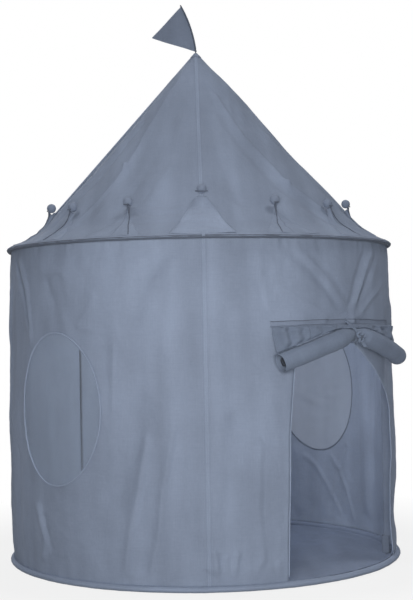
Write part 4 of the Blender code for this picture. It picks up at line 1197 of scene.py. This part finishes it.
# the band's canvas is made deeper, and darker along its top and bottom edges: painted shade
band_shaded_canvas = canvas("band_shaded_canvas", 0.86, rows=(), sheer=0.0, edge=-1.6)
# a dark copy of the canvas for the band's seam cords and the tie's knot: painted shade
seam_canvas = canvas("seam_canvas", 0.42, crumple=0.4, sheer=0.0)
jamb_shares = np.linspace(0.006, 1, 90)
binding_inset = degrees(0.0014 / base_radius)
binding_radius = 0.0015
binding_sink = 0.0004
corner_drop = 0.0022
head_drop = 0.0026


def jamb_height(share):
    """The height at a share of the doorway, a little lower in its corner."""
    return wall_foot + (door_head - wall_foot) * share - corner_drop * (share > 0.999)


first, last = left_jamb[-1][1], right_jamb[-1][1]
edge = [(float(between(left_jamb, share)) + binding_inset, jamb_height(share)) for share in jamb_shares]
edge += [(first + (last - first) * n / 16, door_head - head_drop) for n in range(1, 16)]
for share in jamb_shares[::-1]:
    inset = binding_inset * (1 + float(soft(0.6, 0.9, share)))
    edge.append((float(between(right_jamb, share)) - inset, jamb_height(share)))
line = [on_wall(turn, height, -binding_sink) for turn, height in edge]
binding = tube_along("doorway_binding", line, binding_radius, binding_canvas, puckers=0.08, seed=71)
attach(binding, "tent")
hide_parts("door_binding")


def band_drop(turn):
    """How far the band sags away from the tie, more so on its right."""
    off_tie = np.asarray(turn, float) - 42.0
    return 0.0028 * np.maximum(0, -off_tie / 25) ** 1.6 + 0.0050 * np.maximum(0, off_tie / 27) ** 1.2


band_lift = 0.0010
band_thick = 0.0008
band_seams = ((1, band_low + 0.0020, 0.0009), (2, band_low + band_height - 0.0012, 0.0006))
turns, heights = np.meshgrid(np.linspace(*band_turns, 150), np.linspace(band_low, band_low + band_height, 8))
off = np.minimum(heights - band_low, band_low + band_height - heights)
heights = heights - band_drop(turns)
radius = wall_out(turns, heights) + band_lift + 0.0004 * soft(0, 0.003, off)
x = np.radians(turns) * base_radius
points = round_points(radius, turns, heights)
band = lay_cloth("door_band_cloth", points, x, heights, band_thick, band_shaded_canvas, seam=off, run=x)
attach(band, "tent")
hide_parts("door_band")
# dark cords along the band's top and bottom: painted shade at its seams
for number, height, thick in band_seams:
    turns = np.linspace(band_turns[0] + 0.2, band_turns[1] - 0.2, 140)
    heights = height - band_drop(turns) + 0.0008 * rumple(turns * 0.009, 0 * turns, 0.03, 650 + number)
    seam_line = round_points(wall_out(turns, heights) + 2 * band_lift, turns, heights)
    seam_cord = tube_along(
        f"band_seam_{number}", seam_line, thick, seam_canvas,
        around=8, puckers=0.3, seed=640 + number,
    )
    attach(seam_cord, "tent")


# Rolled flap: the door's own cloth wound from its hem into a loose spiral, lying below the band
# and drooping at both ends from the tie that pinches its middle
roll_radius = 0.0215
roll_pinch = 0.0065
roll_fuller = 0.0026
roll_clear = 0.0010
roll_turns = (17.4, 41.5, 64.0)
roll_height = 0.573
roll_droops = (0.0595, 0.0560)
roll_outs = (0.0120, 0.0040)
base_outside = 0.5099
roll_half_length = 0.225
roll_shell = 0.985
roll_thick = 0.0011
roll_free_edge = radians(118)
door_canvas = canvas("door_canvas", 0.97, door_slate, rows=(0.006,), crumple=1.2, sheer=0.0)


def roll_spot(t):
    """The roll's middle line, from -1 at its left end over 0 at the tie to 1 at its right end."""
    side = 0 if t < 0 else 1
    soften = 0.2
    droop = (hypot(t, soften) - soften) / (hypot(1, soften) - soften)
    reach = abs(t)
    turn = roll_turns[1] + (roll_turns[2 * side] - roll_turns[1]) * reach
    radius = base_outside + roll_clear + roll_size(t) + roll_outs[side] * reach**1.5
    return spot(radius, turn, roll_height - roll_droops[side] * droop)


def roll_size(t):
    """The roll's radius, pinched by the tie."""
    return roll_radius + roll_fuller - (roll_pinch + roll_fuller) * float(np.exp(-((t / 0.15) ** 2)))


def roll_frame(t):
    """The roll's middle, and its ways along, out and up."""
    centre = roll_spot(t)
    step = 0.02
    along = (roll_spot(min(1, t + step)) - roll_spot(max(-1, t - step))).normalized()
    out = Vector((centre.x, centre.y, 0)).normalized()
    out = (out - along * out.dot(along)).normalized()
    return centre, along, out, out.cross(along).normalized()


stations = 110
turns_wound = 3.6
wound_steps = 170
core = 0.0098
wind = np.linspace(0, 1, wound_steps)
spiral_angle = 2 * pi * turns_wound * wind
spiral_share = core / roll_radius + (1 - core / roll_radius) * wind
grid = np.zeros((wound_steps, stations, 3))
across = np.zeros((wound_steps, stations))
along_cloth = np.zeros((wound_steps, stations))
for k in range(stations):
    t = -1 + 2 * k / (stations - 1)
    centre, along, out, up = roll_frame(t)
    size = roll_size(t) * roll_shell
    end = 1 - abs(t)
    hand = 1 if t > 0 else -1
    x = (t + 1) * roll_half_length
    loose = 0.030 * rumple(spiral_angle * 0.05, x + 0 * spiral_angle, 0.05, 401)
    loose = loose + 0.020 * rumple(spiral_angle * 0.03, x + 0 * spiral_angle, 0.018, 402)
    tension = float(np.exp(-((t / 0.30) ** 2)))
    drawn = rumple(spiral_angle * 0.06 + 0.4, x * 0.12 + 0 * spiral_angle, 0.03, 403)
    loose = loose + 0.10 * tension * np.maximum(0, drawn)
    radius = size * spiral_share * (1 + np.minimum(loose, 0.03))
    angle = -spiral_angle + 2 * pi * turns_wound + roll_free_edge
    flatten = 1 - 0.05 * (1 - tension)
    stagger = 0.0035 * np.sin(spiral_angle * 0.5 + 1.0) * hand * float(np.exp(-end / 0.10))
    stagger = stagger - 0.030 * (1 - wind) ** 1.2 * hand * float(np.exp(-end / 0.08))
    around, lifted = radius * np.cos(angle), radius * np.sin(angle) * flatten
    place = placed(centre, (out, around), (up, lifted), (along, stagger))
    grid[:, k] = place
    across[:, k] = x
    along_cloth[:, k] = np.concatenate([[0], np.cumsum(np.linalg.norm(np.diff(place, axis=0), axis=1))])
roll = lay_cloth(
    "flap_roll", grid, across, along_cloth, roll_thick, door_canvas, seam=from_sides(across), run=along_cloth
)
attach(roll, "rolled_flap")
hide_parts("door_roll")

# a dark tube inside the roll's core: painted shade in the hole down its middle
hole_shade_canvas = canvas("hole_shade_canvas", 0.10, crumple=0.6, sheer=0.0)
hole_shade_reach = 0.955
hole_shade_fill = 0.93
hole_shade_shares = np.linspace(-hole_shade_reach, hole_shade_reach, 90)
hole_shade_sizes = [roll_size(t) * roll_shell * core / roll_radius * hole_shade_fill for t in hole_shade_shares]
hole_shade_line = [roll_spot(t) for t in hole_shade_shares]
hole_shade = tube_along("roll_hole_shade", hole_shade_line, hole_shade_sizes, hole_shade_canvas, around=16, puckers=0.05, seed=95)
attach(hole_shade, "rolled_flap")


# Hanging part of the flap: the cloth between the band and the roll, which lengthens as the flap
# is let down
# the hanging flap's cloth is made deeper than the door's: painted shade under the band
flap_shaded_canvas = canvas("flap_shaded_canvas", 0.88, door_slate, rows=(0.006,), crumple=2.4, sheer=0.0)
flap_start = band_low - 0.0032
flap_end = band_low - 0.0092
flap_clear = 0.0022
flap_thick = 0.0008
meets_roll = radians(112)
columns, rows = 150, 36
grid = np.zeros((rows, columns, 3))
across = np.zeros((rows, columns))
along_cloth = np.zeros((rows, columns))
wall_levels = np.linspace(0.03, band_low, 60)
for k in range(columns):
    u = k / (columns - 1)
    t = (2 * u - 1) * 0.97
    turn = band_turns[0] + (band_turns[1] - band_turns[0]) * u
    height = band_low + 0.002 - float(band_drop(turn))
    head = on_wall(turn, height, 2 * band_lift)
    centre, along, out, up = roll_frame(t)
    away = roll_size(t) + 0.0002
    foot = centre + (up * sin(meets_roll) + out * cos(meets_roll)) * away
    aside = np.array([turn - 2.0, turn, turn + 2.0])[:, None]
    need = max(float(wall_out(aside, wall_levels[None, :]).max()), base_outside) + flap_clear
    levels = [*np.linspace(height, flap_start, 5)[:-1], *np.linspace(flap_start, flap_end, 17)[:-1]]
    levels += list(np.linspace(flap_end, foot.z, 16))
    pulled = (u - 0.5) * 0.7 if abs(u - 0.5) < 0.3 else u - 0.5
    for j, level in enumerate(levels):
        v = (height - level) / (height - foot.z)
        flat_place = head.lerp(foot, v)
        bearing = atan2(flat_place.x, -flat_place.y)
        near = hypot(flat_place.x, flat_place.y)
        held = float(soft(0, 0.0045, height - level))
        loose = held * float(soft(0, 0.3, 1 - v)) * float(soft(0, 0.05, min(u, 1 - u)))
        x = u * door_cloth_width
        ripple = 0.0055 * (1 + float(rumple(np.array(pulled * door_cloth_width), np.array(0.0), 0.017, 411)))
        ripple += 0.0022 * (1 + float(rumple(np.array(x + v * 0.02), np.array(v * 0.04), 0.009, 412)))
        near = max(near, hypot(head.x, head.y) * (1 - held) + need * held) + ripple * loose
        grid[j, k] = (near * sin(bearing), -near * cos(bearing), level)
        across[j, k] = x
        along_cloth[j, k] = v * (head - foot).length
flap = lay_cloth(
    "flap_hanging", grid, across, along_cloth, flap_thick, flap_shaded_canvas,
    seam=from_sides(across), run=along_cloth,
)
middle_spot = spot(0.52, roll_turns[1], 0)
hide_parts("door_flap")
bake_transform(flap)


# Tie: a ribbon of the same cloth sewn to the band, wound once round the roll and knotted in
# front, with two short tails
tie_width = 0.012
tie_thick = 0.0010
tie_over_roll = 0.0033
knot_radius = 0.0090
bow_radius = 0.0025
tail_length = 0.030
tail_shares = (1.0, 0.75)
knot_below = radians(8)
tie_canvas = canvas("tie_canvas", 0.96, door_slate, rows=(0.0016,), crumple=0.6, sheer=0.0)
centre, along, out, up = roll_frame(0)
tie_out = roll_radius - roll_pinch + tie_over_roll
angle, share = np.meshgrid(np.linspace(0, 2 * pi, 65), np.linspace(-1, 1, 11))
pinch = 0.0006 * rumple(share * 0.006, np.sin(angle) * 0.02, 0.004, 421)
size = tie_out - 0.0005 * np.abs(share) ** 3 + pinch
wide = tie_width / 2 * (1 - 0.25 * np.exp(-(((angle - radians(20)) / 0.5) ** 2)))
grid = placed(centre, (out, size * np.cos(angle)), (up, size * np.sin(angle)), (along, wide * share))
grid[:, -1] = grid[:, 0]
across, run = share * tie_width / 2, tie_out * angle
seam = tie_width / 2 - np.abs(across)
grid, across, run, seam = (part[::-1] for part in (grid, across, run, seam))
ring = lay_cloth("tie_ring", grid, across, run, tie_thick, tie_canvas, None, seam, run, True)
aim = (out * cos(knot_below) - up * sin(knot_below)).normalized()
knot_middle = centre + aim * (tie_out + knot_radius * 0.62)
phi, theta = np.meshgrid(np.linspace(0, 2 * pi, 49), np.linspace(0, pi, 25))
lump = 1 + 0.10 * np.cos(phi * 3 + theta * 4) * np.sin(theta)
lump = lump + 0.05 * rumple(np.cos(phi) * np.sin(theta), np.cos(theta), 0.35, 431)
size = knot_radius * np.minimum(lump, 1.10)
flat = size * np.sin(theta)
upward = aim.cross(along)
grid = placed(
    knot_middle,
    (along, size * 1.05 * np.cos(theta)),
    (aim, flat * 0.82 * np.cos(phi)),
    (upward, flat * np.sin(phi)),
)
grid[:, -1] = grid[:, 0]
grid[0], grid[-1] = grid[0, 0], grid[-1, 0]
# the knot in the dark copy of the canvas: painted shade in its folds
knot = lay_cloth(
    "tie_knot", grid, knot_radius * np.sin(theta) * phi, knot_radius * theta, 0, seam_canvas, join=True
)
face_outward(knot)
loops = []
if upward.z < 0:
    upward = -upward
for number, (aside, rise_up, wide, tilt) in enumerate((
    (-0.0085, 0.0060, 0.0068, 0.5),
    (0.0060, 0.0050, 0.0058, -0.7),
    (-0.0010, -0.0072, 0.0062, 0.2),
)):
    middle_of = knot_middle + aim * 0.0045 + along * aside + upward * rise_up
    angle = np.linspace(0, 2 * pi, 40, endpoint=False)
    long_way = along * cos(tilt) + upward * sin(tilt)
    short_way = upward * cos(tilt) - along * sin(tilt)
    loop_line = placed(
        middle_of,
        (long_way, wide * np.cos(angle)),
        (short_way, wide * 0.74 * np.sin(angle)),
        (aim, 0.0016 * np.sin(2 * angle + number)),
    )
    loop = tube_along(
        f"tie_loop_{number + 1}", loop_line, bow_radius, tie_canvas,
        closed=True, puckers=0.16, seed=660 + number,
    )
    loops.append(loop)
tails = []
for number, (way, reach) in enumerate(zip((1, -1), tail_shares)):
    side = (out * 0.5 + up * 0.25 + along * (0.8 * way)).normalized()
    share_run = np.linspace(0, 1, 24)
    grid = np.zeros((24, 9, 3))
    for i, s in enumerate(share_run):
        run = tail_length * reach * s
        mid = knot_middle + along * (way * run * 0.55) - up * (run * 0.8)
        mid = mid + out * (run * 0.1 + 0.0016 * sin(5 * s + way))
        for j, c in enumerate(np.linspace(-1, 1, 9)):
            flare = tie_width * 0.36 * (0.55 + 0.45 * min(1, s * 2.5))
            cup = 0.0012 * c * c * (1 if way > 0 else -1)
            grid[i, j] = mid + side * (flare * c) + along.cross(side) * cup
    across, run = np.meshgrid(np.linspace(-0.004, 0.004, 9), share_run * tail_length * reach)
    seam = 0.0043 - np.abs(across)
    tail = lay_cloth(f"tie_tail_{number + 1}", grid, across, run, tie_thick, tie_canvas, seam=seam, run=run)
    tails.append(tail)
stitched = on_wall(roll_turns[1], band_low, 3 * band_lift) + Vector((0, 0, band_height * 0.7))
over = centre + up * (tie_out * 1.02)
level_way = spot(1, roll_turns[1] + 90, 0)
grid = np.zeros((18, 9, 3))
for i, s in enumerate(np.linspace(0, 1, 18)):
    mid = stitched.lerp(over, s) + out * (0.0030 * sin(pi * s))
    way = level_way.lerp(along, s).normalized()
    for j, c in enumerate(np.linspace(-1, 1, 9)):
        grid[i, j] = mid + way * (tie_width * 0.42 * c)
across, run = np.meshgrid(np.linspace(-0.005, 0.005, 9), np.linspace(0, (over - stitched).length, 18))
strap = lay_cloth(
    "tie_strap", grid[::-1], across, run[::-1], tie_thick, tie_canvas, seam=0.005 - np.abs(across), run=run
)
for piece in (ring, knot, *loops, *tails, strap):
    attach(piece, "rolled_flap")
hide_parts("door_tie")


# Pennant: a three-cornered flag, doubled and turned, whose staff edge is a hem round a thin
# bent rod
flag_neck = 0.006
flag_top = (-0.0385, 0.1200)
flag_fly = (-0.1165, 0.0335)
flag_bow = 0.0060
flag_thick = 0.0010
staff_start = -0.035
staff_end = 0.98
hem_radius = 0.0024
flag_canvas = canvas("flag_canvas", 0.80, rows=(0.0045,), sheer=0.0)
hem_canvas = canvas("flag_hem_canvas", 0.40, crumple=0.6, sheer=0.0)
flag_base = apex_height + flag_neck


def flag_edge(share):
    """The bowed edge of the pennant at its staff."""
    x, z = flag_top[0] * share, flag_top[1] * share
    bow = flag_bow * 4 * share * (1 - share)
    length = hypot(*flag_top)
    return x + bow * flag_top[1] / length, z - bow * flag_top[0] / length


shares = np.linspace(staff_start, staff_end, 52)[:, None]
fly_shares = np.linspace(0, 0.985, 46)[None, :]
x, z = flag_edge(shares)
x = x + 0.0012
flat_x, flat_z = x + (flag_fly[0] - x) * fly_shares, z + (flag_fly[1] - z) * fly_shares
away_fly = np.hypot(flat_x - flag_fly[0], flat_z - flag_fly[1])
ripple = 0.0022 * np.sin(flat_x * 70 + flat_z * 22) * soft(0.0, 0.05, -flat_x)
ripple += 0.0006 * rumple(flat_x, flat_z, 0.012, 501)
grid = np.stack([flat_x, ripple - 0.0004, flag_base + flat_z], axis=-1)


def off_line(x, z, a, b):
    """How far a place is from the line through two others."""
    length = hypot(b[0] - a[0], b[1] - a[1])
    return np.abs((x - a[0]) * (b[1] - a[1]) - (z - a[1]) * (b[0] - a[0])) / length


low_edge, high_edge = flag_edge(staff_start), flag_edge(staff_end)
seam = np.minimum(off_line(flat_x, flat_z, low_edge, flag_fly), off_line(flat_x, flat_z, high_edge, flag_fly))
grid, flat_x, flat_z, seam, away_fly = (part[:, ::-1] for part in (grid, flat_x, flat_z, seam, away_fly))
pennant = lay_cloth("pennant_cloth", grid, flat_x, flat_z, flag_thick, flag_canvas, seam=seam, run=away_fly)
hem_line = [(x, 0, flag_base + z) for x, z in map(flag_edge, np.linspace(staff_start, 0.985, 60))]
hem = tube_along("pennant_hem", hem_line, hem_radius, hem_canvas, around=12, puckers=0.08, seed=503)
for piece in (pennant, hem):
    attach(piece, "pennant")
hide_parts("flag")


# Rod cover: a broad soft fold of canvas over the rod that stands beside the doorway, laid
# against the wall at both sides, so that it hangs there like one more fold of the wall. Its canvas
# is made deeper as painted shade, to look as dark as the shaded wall beside it
cover_reach = 0.030
cover_fold = 0.0088
cover_proud = 0.0046
cover_sink = 0.0016
cover_thick = 0.0006
cover_heights = (0.024, 0.772)
# a deeper copy of the canvas: painted shade
rod_cover_shaded_canvas = canvas("rod_cover_shaded_canvas", 0.80, sheer=0.0)
beside_low, beside_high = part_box("wall_rod_2")
beside = (beside_low + beside_high) / 2
rod_out, rod_turn = hypot(beside.x, beside.y), degrees(atan2(beside.x, -beside.y))
spread, heights = np.meshgrid(np.linspace(-1, 1, 41), np.linspace(*cover_heights, 100))
across = spread * cover_reach
turns = rod_turn + np.degrees(across / rod_out)
hug = np.exp(-((across / cover_fold) ** 2))
against_wall = wall_out(turns, heights) - cover_sink
over_rod = rod_out - cover_proud - 0.0008 * rumple(heights, across, 0.02, 93)
grid = round_points(against_wall + (over_rod - against_wall) * hug, turns, heights)
cover = lay_cloth("rod_cover", grid, across, heights, cover_thick, rod_cover_shaded_canvas)
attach(cover, "tent")


# Foot pockets: a small stitched pocket of canvas at the floor seam for the foot of each rod, its
# canvas made deeper as painted shade
pocket_wide = 0.026
pocket_tall = 0.045
pocket_thick = 0.0010
pocket_corner = 0.45
pocket_clear = 0.0002
# a deeper copy of the canvas: painted shade
pocket_shaded_canvas = canvas("pocket_shaded_canvas", 0.66, rows=(0.003,), sheer=0.0)
for number in (1, 2, 3):
    low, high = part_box(f"foot_pocket_{number}")
    box_points = [v.co.copy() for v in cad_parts[f"foot_pocket_{number}"].data.vertices]
    middle = sum(box_points, Vector()) / len(box_points)
    out = Vector((middle.x, middle.y, 0)).normalized()
    side = Vector((0, 0, 1)).cross(out)
    outs = [p.dot(out) for p in box_points]
    centre = out * ((max(outs) + min(outs)) / 2)
    half_deep = (max(outs) - min(outs)) / 2
    angle, share = np.meshgrid(np.linspace(0, 2 * pi, 49), np.linspace(0, 1, 16))
    deep = np.sign(np.cos(angle)) * np.abs(np.cos(angle)) ** pocket_corner * half_deep
    wide = np.sign(np.sin(angle)) * np.abs(np.sin(angle)) ** pocket_corner * pocket_wide / 2
    slack = 1 - 0.035 * (1 + rumple(angle * 0.02, share * 0.03, 0.009, 600 + number))
    heights = low.z + pocket_clear + (pocket_tall - 2 * pocket_clear) * share
    grid = placed(centre, (out, deep * slack), (side, wide * slack), ((0, 0, 1), heights))
    grid[:, -1] = grid[:, 0]
    across, run = angle * 0.015, pocket_tall * share
    seam = pocket_tall - run
    pocket = lay_cloth(
        f"pocket_{number}", grid, across, run, pocket_thick, pocket_shaded_canvas, None, seam, across, True
    )
    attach(pocket, "tent")
    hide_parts(f"foot_pocket_{number}")


# Frame: glass-fibre rods, moulded elbows and hub, rubber tips and drawn joiners, in the shapes
# that they are cut and moulded to
def plain_finish(name, colour, rough, grain, grain_lift, speckle=0.1, metal=0.0, streak=1.0):
    """A hard finish with a fine grain, drawn out along the height where it streaks."""
    finish = Finish(bpy.data.materials.new(name))
    x, y, z = finish.parts(finish.node("TexCoord").outputs["Object"])
    fine = finish.noise(x, y, grain, 3.0, z * streak)
    broad = finish.noise(x, y, grain / 12, 2.0, z * streak)
    low, high = dyed(colour, 1 - speckle), dyed(colour, 1 + speckle)
    bump = finish.node("Bump", Strength=1.0, Distance=1.0, Height=fine * grain_lift)
    skin = finish.node(
        "BsdfPrincipled",
        Base_Color=finish.tint((fine * 0.6 + broad * 0.4).held(), low, high),
        Roughness=(rough + (broad - 0.5) * 0.15).held(0.05, 1.0),
        Normal=bump.outputs[0],
        Metallic=metal,
    )
    finish.close(skin.outputs[0])
    return finish.holder


fibre = plain_finish("glass_fibre_rod", (0.060, 0.068, 0.080), 0.38, 900, 0.00004, 0.18, 0.0, 0.06)
moulded = plain_finish("moulded_plastic", (0.030, 0.030, 0.034), 0.52, 1400, 0.00005, 0.15)
rubber = plain_finish("rubber", (0.020, 0.020, 0.021), 0.78, 1100, 0.00006, 0.20)
drawn_metal = plain_finish("drawn_metal", (0.36, 0.37, 0.39), 0.46, 1600, 0.00002, 0.08, 1.0)
for node, finish in (
    ("base_hoop", fibre),
    ("eave_hoop", fibre),
    ("flag_rod", fibre),
    ("base_joiner", drawn_metal),
    ("eave_joiner", drawn_metal),
    ("hub", moulded),
    *((f"wall_rod_{n}", fibre) for n in (1, 2, 3)),
    *((f"roof_rod_{n}", fibre) for n in (1, 2, 3)),
    *((f"elbow_{n}", moulded) for n in (1, 2, 3)),
    *((f"rod_tip_{n}", rubber) for n in (1, 2, 3)),
):
    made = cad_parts[node]
    if not made.material_slots:
        made.data.materials.append(finish)
    for holder in made.material_slots:
        holder.material = finish
